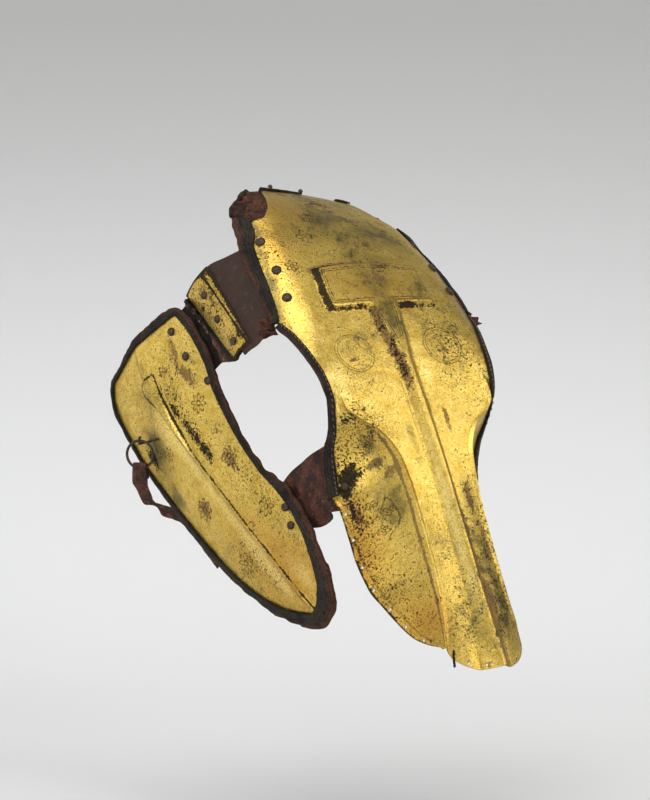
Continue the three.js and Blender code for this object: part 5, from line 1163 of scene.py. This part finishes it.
for side_name, sign in SIDES:
    cheek_off = mirrored(cheek_axes[2], sign)
    grid = on_cheek(cheek_local(f_grid, g_grid, cheek_dent), sign)
    piece = sheet_piece(f"cheek_gilt_{side_name}", grid, CHEEK_WALL, -cheek_off, gilt, cheek_marks)
    settle(piece, "gilt", f"cheek_plate_{side_name}")
    corner = on_cheek(cheek_local(rim_f, rim_g), sign)
    along = unit(np.roll(corner, -1, 0) - np.roll(corner, 1, 0))
    out = corner - on_cheek(cheek_local(blend(rim_f, 0.5, 0.08), rim_g * 0.92), sign)
    out = unit(out - along * np.sum(out * along, -1, keepdims=True))
    off = unit(np.cross(along, out))
    off = off * np.where(off @ cheek_off < 0, -1, 1)[:, None]
    reach = np.where(rim_g < 0, cheek("back", rim_f), cheek("front", rim_f))
    fold_gap = np.where(rim_f > TIP_FROM, TIP_GAP, FOLD_GAP)
    table = np.concatenate([corner, out, off, reach[:, None], fold_gap[:, None]], axis=1)
    path, _ = drawn_path(table, 2.4, closed=True, soften=3)
    reach = np.where(path[:, 9] < TIP_REACH_FROM, path[:, 9] * 0.85, path[:, 9])
    outline = folded_outline(np.full(len(path), CHEEK_LAP), reach, CHEEK_WALL, path[:, 10])
    rim_parts = path[:, :3], unit(path[:, 3:6]), unit(path[:, 6:9])
    binding_piece(f"cheek_edge_{side_name}", rim_parts, outline, 31, True, f"cheek_binding_{side_name}")


def cheek_on(u, v, sign):
    """Spot of the outer side over the given shares of the plate's length and width, and the
    direction off it: f and g are corrected thirty times from what they give."""
    f, g = share01(u + 0.1), np.zeros_like(u)
    for _ in range(30):
        ridge_v = cheek("ridge_v", f)
        rim_v = np.where(v > ridge_v, cheek("front_v", f), cheek("back_v", f))
        g = (v - ridge_v) / (rim_v - ridge_v) * np.where(v > ridge_v, 1, -1)
        f = share01(f + (u - cheek_local(f, g)[:, 0] / CHEEK_LENGTH) * 0.8)
    facing = mirrored(cheek_axes[2], sign)
    return spot_and_off(lambda f, g: on_cheek(cheek_local(f, g), sign), f, g, 0.05, facing)


ON_LEATHER = FOLD_GAP + LEATHER + GAP
CHEEK_RIVETS = np.array([
    (-0.0174, 0.366, GAP), (0.0705, 0.35, GAP), (0.18, 0.39, ON_LEATHER), (0.625, 0.3155, ON_LEATHER),
    (0.671, 0.265, GAP),
])
for side_name, sign in SIDES:
    spots, offs = cheek_on(CHEEK_RIVETS[:, 0], CHEEK_RIVETS[:, 1], sign)
    names = numbered("cheek_rivet", len(CHEEK_RIVETS), side_name)
    seats = spots + offs * (CHEEK_RIVETS[:, 2:] - RIVET_BEDDED)
    rivet_heads(f"cheek_rivets_{side_name}", seats, offs, SMALL_RIVET, names)


# Small plates: a strip of gilt copper between face plate and cheek plate, riveted in the middle to
# the leather that both hang on.
LAME_LENGTH, LAME_WIDTH, LAME_WALL, LAME_DOME = 118.0, 48.0, 1.5, 3.0
LAME_CORNER, LAME_SKEW, LAME_FRONT_SHARE = np.array([134.3, 175.2, 3.6]), 14.0, 0.7
lame_axes = hanging_axes(88, -4, 31.1)


def lame_local(f, g, lift=0.0):
    """A point of the small plate's outer side in its own frame: a strip that narrows to the front,
    with a skewed end, domed across in a parabola."""
    f, g = np.broadcast_arrays(np.asarray(f, float), np.asarray(g, float))
    u = f * LAME_LENGTH + LAME_SKEW * g
    v = g * LAME_WIDTH * blend(1, LAME_FRONT_SHARE, f)
    return np.stack([u, v, LAME_DOME * 4 * g * (1 - g) + lift], axis=-1)


def on_lame(f, g, lift, sign):
    return mirrored(LAME_CORNER + lame_local(f, g, lift) @ lame_axes, sign)


LAME_OLIVE = ((20, 30, 20, 20, 0.4), (90, 20, 20, 14, 0.3))
LAME_STAIN = ((50, 30, 14, 8, 0.5), (110, 20, 12, 12, 0.5))
LAME_SOOT = ((12, 40, 12, 9, 0.8), (40, 12, 8, 6, 0.5), (64, 26, 5, 9, 0.5), (110, 38, 12, 6, 0.7))
LAME_RIVETS = np.array([(0.22, 0.53), (0.54, 0.46), (0.87, 0.52)])
f_grid, g_grid = np.meshgrid(np.linspace(0, 1, 90), np.linspace(0, 1, 45), indexing="ij")
lame_dent = 0.25 * ripple(lame_local(f_grid, g_grid), 30, 7)
u, v = lame_local(f_grid, g_grid)[..., 0], g_grid * LAME_WIDTH
end_off, flank_off = np.minimum(f_grid, 1 - f_grid), np.minimum(g_grid, 1 - g_grid)
rim_off = np.minimum(end_off * LAME_LENGTH, flank_off * LAME_WIDTH)
groove = bell(g_grid, blend(0.78, 0.9, f_grid), 0.035)
soot_and_shade_mark = share01(patches(u, v, LAME_SOOT) + groove + bell(rim_off, 0, 3))
zero = np.zeros_like(f_grid)
lame_marks = {
    "tone": np.stack([zero + 0.25, patches(u, v, LAME_OLIVE), patches(u, v, LAME_STAIN)], -1),
    "wear": np.stack([soot_and_shade_mark, zero + 0.9, zero + 0.3], -1),
    "engraving": np.stack([zero + NO_LINE, zero, zero], -1),
    "figure": np.stack([zero, zero, zero], -1),
}
for side_name, sign in SIDES:
    lame_off = mirrored(lame_axes[2], sign)
    grid = on_lame(f_grid, g_grid, lame_dent, sign)
    piece = sheet_piece(f"small_plate_{side_name}", grid, LAME_WALL, -lame_off, gilt, lame_marks)
    settle(piece, "gilt", f"lame_{side_name}")
    spots, offs = spot_and_off(lambda f, g: on_lame(f, g, 0.0, sign), *LAME_RIVETS.T, 0.01, lame_off)
    names = numbered("lame_rivet", len(LAME_RIVETS), side_name)
    seats = spots + offs * (GAP - RIVET_BEDDED)
    rivet_heads(f"small_plate_rivets_{side_name}", seats, offs, SMALL_RIVET, names)


# Leather between the plates: a smooth brown panel from the brow's binding down behind the small
# plate, and red-brown leather, folded once, from behind the small plate to behind the cheek plate.
BROWN_DARK, BROWN_PALE, BROWN_DUST = (0.03, 0.017, 0.012), (0.062, 0.033, 0.022), (0.12, 0.085, 0.06)
RED_DARK, RED_PALE, RED_HIGHLIGHT = (0.03, 0.013, 0.009), (0.13, 0.045, 0.026), (0.28, 0.1, 0.03)
STRIP_BLACK, THREAD_PALE, RED_CRACK = (0.02, 0.016, 0.012), (0.34, 0.26, 0.17), (0.025, 0.013, 0.01)
brown = Finish("brown_leather")
brown_cloud = brown.noise(brown.place(), 40, 4, 0.6)
brown_grain = brown.noise(brown.place(), 900, 3, 0.6)
brown_dust = brown.step(brown.noise(brown.place(), 130, 5, 0.7), 0.52, 0.72)
brown_colour = brown.mix(brown_cloud, BROWN_DARK, BROWN_PALE)
brown_colour = brown.mix(brown_dust * 0.45, brown_colour, BROWN_DUST)
brown.surface(brown_colour, brown_cloud * 0.25 + 0.55, brown_grain, 0.0006, gloss=0.25)
red = Finish("red_leather")
red_cloud = red.noise(red.place(), 55, 4, 0.65)
red_grain = red.noise(red.place(), 500, 4, 0.6)
red_crack = red.step(red.cells(red.place(), 260), 0.05, 0.0)
# Painted orange highlights, scattered over the red leather.
red_painted_highlight = red.step(red.noise(red.place(), 120, 3, 0.6), 0.56, 0.7)
strip_black, strip_thread, _ = red.mark("strip")
red_colour = red.mix(red.step(red_cloud, 0.36, 0.66), RED_DARK, RED_PALE)
red_colour = red.mix(red_painted_highlight * 0.5, red_colour, RED_HIGHLIGHT)
red_colour = red.mix(strip_black, red_colour, STRIP_BLACK)
red_colour = red.mix(strip_thread * red.step(red_grain, 0.42, 0.56), red_colour, THREAD_PALE)
red_colour = red.mix(red_crack, red_colour, RED_CRACK)
red_height = red_cloud + red_grain - red_crack
red.surface(red_colour, red_cloud * 0.3 + 0.5, red_height, 0.0012, gloss=0.25)


def smooth_lines(lines, rows, columns):
    """A fine grid through a coarse one of points: a fair curve first down the rows, then across."""
    lines = np.asarray(lines)
    at_row, at_column = np.arange(lines.shape[0]) * 1.0, np.arange(lines.shape[1]) * 1.0
    fine_row, fine_column = np.linspace(0, at_row[-1], rows), np.linspace(0, at_column[-1], columns)
    tall = np.stack([
        np.stack([fair_curve(fine_row, at_row, lines[:, j, k]) for k in range(3)], -1)
        for j in range(lines.shape[1])
    ], axis=1)
    wide = [
        np.stack([fair_curve(fine_column, at_column, tall[i, :, k]) for k in range(3)], -1)
        for i in range(rows)
    ]
    return np.stack(wide)


def round_rod(path, radius, sides=14):
    """Rings of points round a path: each circle stands square to the path, turned as little as
    possible from the one before."""
    along = unit(np.gradient(path, axis=0))
    out = unit(np.cross(along, along[0] * 0.3 + np.array([0.31, 0.52, 0.79])))
    up = np.cross(along, out)
    turn = np.linspace(0, 2 * math.pi, sides, endpoint=False)[None, :, None]
    wide = np.broadcast_to(np.asarray(radius, float), (len(path),))[:, None, None]
    return path[:, None] + (np.cos(turn) * out[:, None] + np.sin(turn) * up[:, None]) * wide


def crumpled(grid, amount, size, seed):
    """The grid moved along its normals by waves, sharper at their crests."""
    wave = ripple(grid, size, seed)
    return grid + grid_normals(grid) * (amount * (np.abs(wave) ** 0.7 * np.sign(wave)))[..., None]


def hung_leather(name, grid, inward, finish, node, wall=LEATHER, marks=None):
    """A sheet of leather in the given finish and wall, riding on the armour's body for a CAD node."""
    piece = sheet_piece(name, grid, wall, inward, finish.material, marks or {})
    settle(piece, finish.slot, node)


UNDER, PANEL_FROM, PANEL_TO, PANEL_IN, RAGGED = 0.9, 0.38, 0.98, 4, 1.06
FOLD_OUT, CHEEK_TOP_SHARE, BEHIND_BINDING = 4.0, 0.24, FOLD_GAP + LEATHER + 1.6
BEHIND_LAME, UNDER_BINDING = -LAME_WALL - UNDER, PLATE_WALL + FOLD_GAP + LEATHER + UNDER
LEATHER_ROWS = np.array([0, 0.25, 0.5, 0.75, 1])
FOLD_SHAPE, SEAM_AT, BLACK_TO, BLACK_FROM = (90, 100), 0.5, 0.46, 0.57
across = np.broadcast_to(np.linspace(0, 1, FOLD_SHAPE[1]), FOLD_SHAPE)
black = np.maximum(past(across, BLACK_TO, -0.05), past(across, BLACK_FROM, 0.04))
strip = {"strip": np.stack([black, bell(across, SEAM_AT, 0.006), 0 * black], -1)}
for side_name, sign in SIDES:
    hang = blend(PANEL_FROM, PANEL_TO, LEATHER_ROWS)
    spots, outs, offs = rim_frame(blend(LOBE_FROM, LOBE_TO, hang) * PLATE_LENGTH, sign)
    start = spots + outs * (blend(LOBE_WIDE, LOBE_NARROW, hang) - PANEL_IN)[:, None] - offs * UNDER_BINDING
    edge, mid, far = (on_lame(LEATHER_ROWS * RAGGED, g, BEHIND_LAME, sign) for g in (1.04, 0.75, 0.5))
    grid = smooth_lines(np.stack([start, (start + edge) / 2, edge, mid, far], axis=1), 80, 70)
    hung_leather(
        f"brown_panel_{side_name}", crumpled(grid, 0.5, 40, 53), -mirrored(lame_axes[2], sign), brown,
        f"upper_leather_{side_name}",
    )
    cheek_off = mirrored(cheek_axes[2], sign)
    row = LEATHER_ROWS * CHEEK_TOP_SHARE
    lame_spot = [on_lame(LEATHER_ROWS, g, BEHIND_LAME, sign) for g in (0.4, 0.2, -0.06)]
    hidden = []
    for out in (cheek("front", row) + 3, np.full(5, -6.0), np.full(5, -16.0)):
        local = cheek_local(row, 1.0)
        local[:, 1] += out
        local[:, 2] -= CHEEK_WALL + BEHIND_BINDING + np.maximum(out, 0) * 0.3
        hidden.append(on_cheek(local, sign))
    fold = (lame_spot[2] + hidden[0]) / 2 + cheek_off * FOLD_OUT
    grid = crumpled(smooth_lines(np.stack([*lame_spot, fold, *hidden], axis=1), *FOLD_SHAPE), 1.3, 14, 51)
    hung_leather(
        f"fold_leather_{side_name}", grid, -cheek_off, red, f"lame_leather_{side_name}",
        marks=strip,
    )


# Ear linings: crinkled leather tucked under the ear notch's edge, open towards the ear, with a
# rolled edge of dark leather that closes it outwards.
EAR_COLUMNS = ("across", "tip_across", "tip_at", "beyond")
EAR_EDGE = np.array([
    (0.9, 1.18, 2, 0), (0.97, 1.36, 7, 0), (1.1, 1.62, 18, 1), (1.3, 1.86, 29, 4), (1.5, 2.0, 38, 8),
    (1.75, 2.0, 50, 12),
])
EAR_LAST, EAR_TUCK, EAR_SUNK, EAR_OUT_ROW, EAR_CRUMPLE, CRINKLE, ROLL = 5, 7.0, 6.0, 10.0, 3.0, 1.6, 3.2
EAR_DEPTH = PLATE_WALL + UNDER + 2 * GAP


def ear_curve(name, share):
    return fair_curve(share, np.arange(EAR_LAST + 1.0), EAR_EDGE[:, EAR_COLUMNS.index(name)])


def ear_tip(share, sign):
    """The lining's outer edge: sunk under the plate's run and moved beyond its rim."""
    tip_at, tip_across = ear_curve("tip_at", share), ear_curve("tip_across", share) * sign
    tip = plate_spot(tip_at, tip_across) - plate_off(tip_at, tip_across) * EAR_SUNK
    return tip + rim_frame(np.array([EAR_OUT_ROW]), sign)[1] * ear_curve("beyond", share)[:, None]


for side_name, sign in SIDES:
    share = np.linspace(0, EAR_LAST, 110)
    ear_across = ear_curve("across", share) * sign
    s = plate_row(0.0, ear_across)
    tucked, lip = (
        plate_spot(at, ear_across) - plate_off(at, ear_across) * EAR_DEPTH for at in (s + EAR_TUCK, s - 1)
    )
    tip = ear_tip(share, sign)
    wave = CRINKLE * (np.cos(share * math.pi) - 1)[:, None] * np.array([0, 0, 1.0])
    crease = [blend(lip, tip, part) + wave for part in (0.33, 0.67)]
    grid = smooth_lines(np.stack([tucked, lip, *crease, tip], axis=1), 110, 50)
    loose = np.linspace(0, 1, 50)[None, :] ** 0.7
    grid = blend(grid, crumpled(grid, EAR_CRUMPLE, 10, 57), loose[..., None])
    hung_leather(
        f"ear_leather_{side_name}", grid, np.array([0, 0, -1.0]), red, f"ear_lining_{side_name}",
    )
    tip = ear_tip(np.linspace(0, EAR_LAST, 60), sign)
    rings = round_rod(tip, ROLL * (0.85 + 0.2 * ripple(tip, 12, 67)), 16)
    lie = np.stack(np.broadcast_arrays(0 * tip[:, :1], np.arange(16) / 16, 0.35), -1)
    piece = carried_piece(f"ear_roll_{side_name}", rings, False, dark.material, {"lie": lie})
    settle(piece, "dark_leather", f"ear_lining_{side_name}")


# Torn ends of red-brown leather curl out where the brow's binding ends over the eye, and linen
# thread sews the eye's binding: each stitch is half a turn of thread over the leather.
FLAPS = ((0.32, 3, 15, 14, 0.2), (0.328, 4, 18, 16, -0.6), (0.3325, 3, 14, 14, 0.9))
FLAP_WALL, FLAP_TAPER, FLAP_SUNK, STITCH_STEP, STITCH_HALF, THREAD_RADIUS = 1.3, 0.45, 3.2, 0.0085, 1.5, 0.42
LINEN_DARK, LINEN_PALE = (0.08, 0.06, 0.04), (0.26, 0.2, 0.13)
linen = Finish("linen_thread")
linen_grain = linen.noise(linen.place(), 1500, 2, 0.6)
linen.surface(linen.mix(linen_grain, LINEN_DARK, LINEN_PALE), 0.85, linen_grain, 0.0004)
for side_name, sign in SIDES:
    for number, (at, start, long, wide, curl) in enumerate(FLAPS):
        (spot,), (out,), (off,) = rim_frame(np.array([at * PLATE_LENGTH]), sign)
        reach, beside = np.meshgrid(np.linspace(0, 1, 24), np.linspace(-0.5, 0.5, 14), indexing="ij")
        lift = long * curl * reach**2 * 0.6 - FLAP_SUNK - 2 * np.cos(beside * 4)
        sideways = beside * wide * (1 - FLAP_TAPER * reach**2) + curl * 3 * reach
        grid = spot + out * (start + long * reach)[..., None] + off * lift[..., None]
        grid = crumpled(grid + np.cross(out, off) * sideways[..., None], 0.8, 9, 61 + number)
        hung_leather(
            f"torn_leather_{number + 1}_{side_name}", grid, -off, red, f"lame_leather_{side_name}",
            FLAP_WALL,
        )
    rows = np.arange(EYE_FIRST + 0.006, EYE_LAST - 0.004, STITCH_STEP) * PLATE_LENGTH
    spots, outs, offs = rim_frame(rows, sign)
    seat = spots - outs * (EYE_LAP + 5 * eye_low(rows) - 2.4)[:, None] + offs * (FOLD_GAP + LEATHER + 0.1)
    over = np.linspace(0, math.pi, 6)[None, :, None]
    arc = seat[:, None] + np.cross(outs, offs)[:, None] * STITCH_HALF * np.cos(over)
    arc = arc + offs[:, None] * (0.5 * np.sin(over) - 0.2)
    round_x, round_y = (part[:, None] for part in circle(5))
    rings = arc[:, :, None] + THREAD_RADIUS * (round_x * outs[:, None, None] + round_y * offs[:, None, None])
    piece = small_bodies(f"eye_stitches_{side_name}", rings, linen.material)
    settle(piece, "dark_leather", f"eye_binding_{side_name}")


# Strap loops: a doubled strap from under the face plate's rim to behind the cheek plate's front
# edge, with its lower side folded up.
LOOP_ROWS = (
    (0.512, -9, 0.56, 0.695, 0.047), (0.417, -9, 0.555, 0.679, 0.047), (0.298, -4.2, 0.558, 0.679, 0.016),
    (0.226, -1, 0.56, 0.676, 0.008),
)
LOOP_ON_PLATE = np.array([0.558, 0.6015, 0.645, 0.65]) * PLATE_LENGTH
BEHIND_RIM = PLATE_WALL + FOLD_GAP + LEATHER + 2 * UNDER
LOOP_TUCK = ((1.7, PLATE_WALL + 2.5 * UNDER, 0), (1.84, BEHIND_RIM, 0), (2.0, BEHIND_RIM + 1, 8))
for side_name, sign in SIDES:
    _, rim_out, _ = rim_frame(LOOP_ON_PLATE, sign)
    rows = [
        plate_spot(LOOP_ON_PLATE, share * sign) + rim_out * out
        - plate_off(LOOP_ON_PLATE, share * sign) * depth
        for share, depth, out in LOOP_TUCK
    ]
    for v, w, upper, lower, flap in LOOP_ROWS:
        local = np.array([
            (upper, v, w), ((upper + lower) / 2, v, w + 1), (lower, v, w),
            (lower + flap, v - flap, w - LEATHER * flap * 60),
        ])
        rows.append(on_cheek(local * np.array([CHEEK_LENGTH, CHEEK_WIDTH, 1]), sign))
    hung_leather(
        f"loop_leather_{side_name}", crumpled(smooth_lines(np.stack(rows), 90, 60), 1.3, 22, 59),
        -mirrored(cheek_axes[2], sign), red, f"strap_loop_{side_name}",
    )


# Rings for the throat strap: iron wire closed to a ring, held by a hook on the cheek plate, with
# what is left of the strap folded over it.
RING_RADIUS, RING_WIRE, RING_TURN, HOOK_WIRE = 15.0, 1.5, math.radians(50), 1.3
ring_centre = cheek_top + np.array([0.1395 * CHEEK_LENGTH, -0.399 * CHEEK_WIDTH, 15]) @ cheek_axes
ring_side = np.array([math.cos(RING_TURN), math.sin(RING_TURN), 0])
ring_off = np.array([math.sin(RING_TURN), -math.cos(RING_TURN), 0])
UPWARD = np.array([0, 0, 1.0])


def ring_spot(side, up, off):
    return ring_centre + ring_side * side + UPWARD * up + ring_off * off


STRAP_WIDE = 16.0
inside, clear = RING_RADIUS - RING_WIRE - 3.4, RING_WIRE + LEATHER / 2 + 0.7
TAIL = np.array([
    (0.232, -0.643, 4, 11), (0.274, -0.631, -6, 12), (0.332, -0.542, -11, 15), (0.395, -0.524, -11, 15),
    (0.526, -0.506, -11, 15),
])
tail_spots = cheek_top + (TAIL[:, :3] * np.array([CHEEK_LENGTH, CHEEK_WIDTH, 1])) @ cheek_axes
loop_spots = np.stack([
    ring_spot(0, -RING_RADIUS - 12, -clear - 0.5), ring_spot(0, -RING_RADIUS, -clear),
    ring_spot(0, -inside, -clear * 0.75), ring_spot(0, -inside + 1.2, 0), ring_spot(0, -inside, clear * 0.75),
    ring_spot(0, -RING_RADIUS, clear), ring_spot(-1, -RING_RADIUS - 15, clear),
])
strap_spots = np.concatenate([loop_spots, tail_spots])
strap_outs = np.concatenate([np.repeat(ring_side[None], 8, 0), np.repeat(cheek_axes[1][None], 4, 0)])
strap_along = unit(np.roll(strap_spots, -1, 0) - np.roll(strap_spots, 1, 0))
strap_along[0], strap_along[-1] = (unit(strap_spots[k + 1] - strap_spots[k]) for k in (0, -2))
strap_across = unit(strap_outs - strap_along * np.sum(strap_outs * strap_along, -1, keepdims=True))
strap_width = np.concatenate([np.full(7, STRAP_WIDE), TAIL[:, 3]])
strap_table = np.concatenate([strap_spots, strap_across, strap_width[:, None]], axis=1)
ring_x, ring_y = (part[:, None] for part in circle(64))
wire_x, wire_y = (part[None, :, None] for part in circle(14))
ring_out = ring_x * ring_side + ring_y * UPWARD
ring_rings = (ring_centre + ring_out * RING_RADIUS)[:, None]
ring_rings = ring_rings + RING_WIRE * (wire_x * ring_out[:, None] + wire_y * ring_off)
(foot, knee), (foot_off, knee_off) = cheek_on(*np.array([(0.147, 0.132), (-0.238, -0.298)]), 1.0)
above, wire = HOOK_WIRE + 2 * GAP, RING_WIRE + HOOK_WIRE + 2 * GAP
hook = np.stack([
    foot + foot_off * above, knee + knee_off * above, ring_spot(0, RING_RADIUS - wire, -wire * 1.2),
    ring_spot(0, RING_RADIUS - wire, wire * 0.6), ring_spot(0, RING_RADIUS, wire * 1.1),
    ring_spot(0, RING_RADIUS + wire, wire * 0.5), ring_spot(0, RING_RADIUS + wire, -wire * 0.6),
])
path, _ = drawn_path(strap_table, 1.5, soften=2)
middle, strap_out = path[:, :3], unit(path[:, 3:6])
strap_off = np.cross(unit(np.gradient(middle, axis=0)), strap_out)
share = np.linspace(-1, 1, 11)
top = np.stack([share, 1 - 0.25 * share**4], -1)
outline = np.concatenate([top, top[::-1] * np.array([1, -1])])
half = (path[:, 6] / 2 + 0.7 * ripple(middle, 12, 41))[:, None, None]
strap_rings = middle[:, None] + strap_out[:, None] * outline[:, :1] * half
strap_rings = strap_rings + strap_off[:, None] * outline[:, 1:] * (LEATHER / 2)
for side_name, sign in SIDES:
    hook_path, _ = drawn_path(mirrored(hook, sign), 0.8, soften=1)
    for label, rings, closed, node in (
        ("iron_ring", mirrored(ring_rings, sign), True, "ring"),
        ("iron_hook", round_rod(hook_path, HOOK_WIRE), False, "staple"),
    ):
        piece = carried_piece(f"{label}_{side_name}", rings, closed, iron.material, {})
        settle(piece, "iron", f"{node}_{side_name}")
    strap_name = f"throat_leather_{side_name}"
    piece = carried_piece(strap_name, mirrored(strap_rings, sign), False, red.material, {})
    settle(piece, "red_leather", f"throat_strap_{side_name}")


# Nose thong: a black leather lace, left through the hole at the nose's right corner. A row holds the
# distance from the poll edge, the share across and the height off the plate.
THONG = np.array([
    (592, -0.86, 2), (599, -0.9, 2.6), (607, -0.92, 1.5), (608, -0.92, -3), (600, -0.9, -4),
    (592, -0.88, -3.6),
])
THONG_RADIUS, THONG_SWELL, THONG_POINTS = 1.2, 0.15, 20
thong_s, thong_across, thong_lift = THONG.T
thong_spots = plate_spot(thong_s, thong_across) + plate_off(thong_s, thong_across) * thong_lift[:, None]
thong_path, _ = drawn_path(thong_spots, 0.8, soften=2)
rings = round_rod(thong_path, THONG_RADIUS + THONG_SWELL * ripple(thong_path, 5, 47))
thong = carried_piece("nose_thong", rings, False, dark.material, {})
settle(thong, "dark_leather", "nose_lacing")
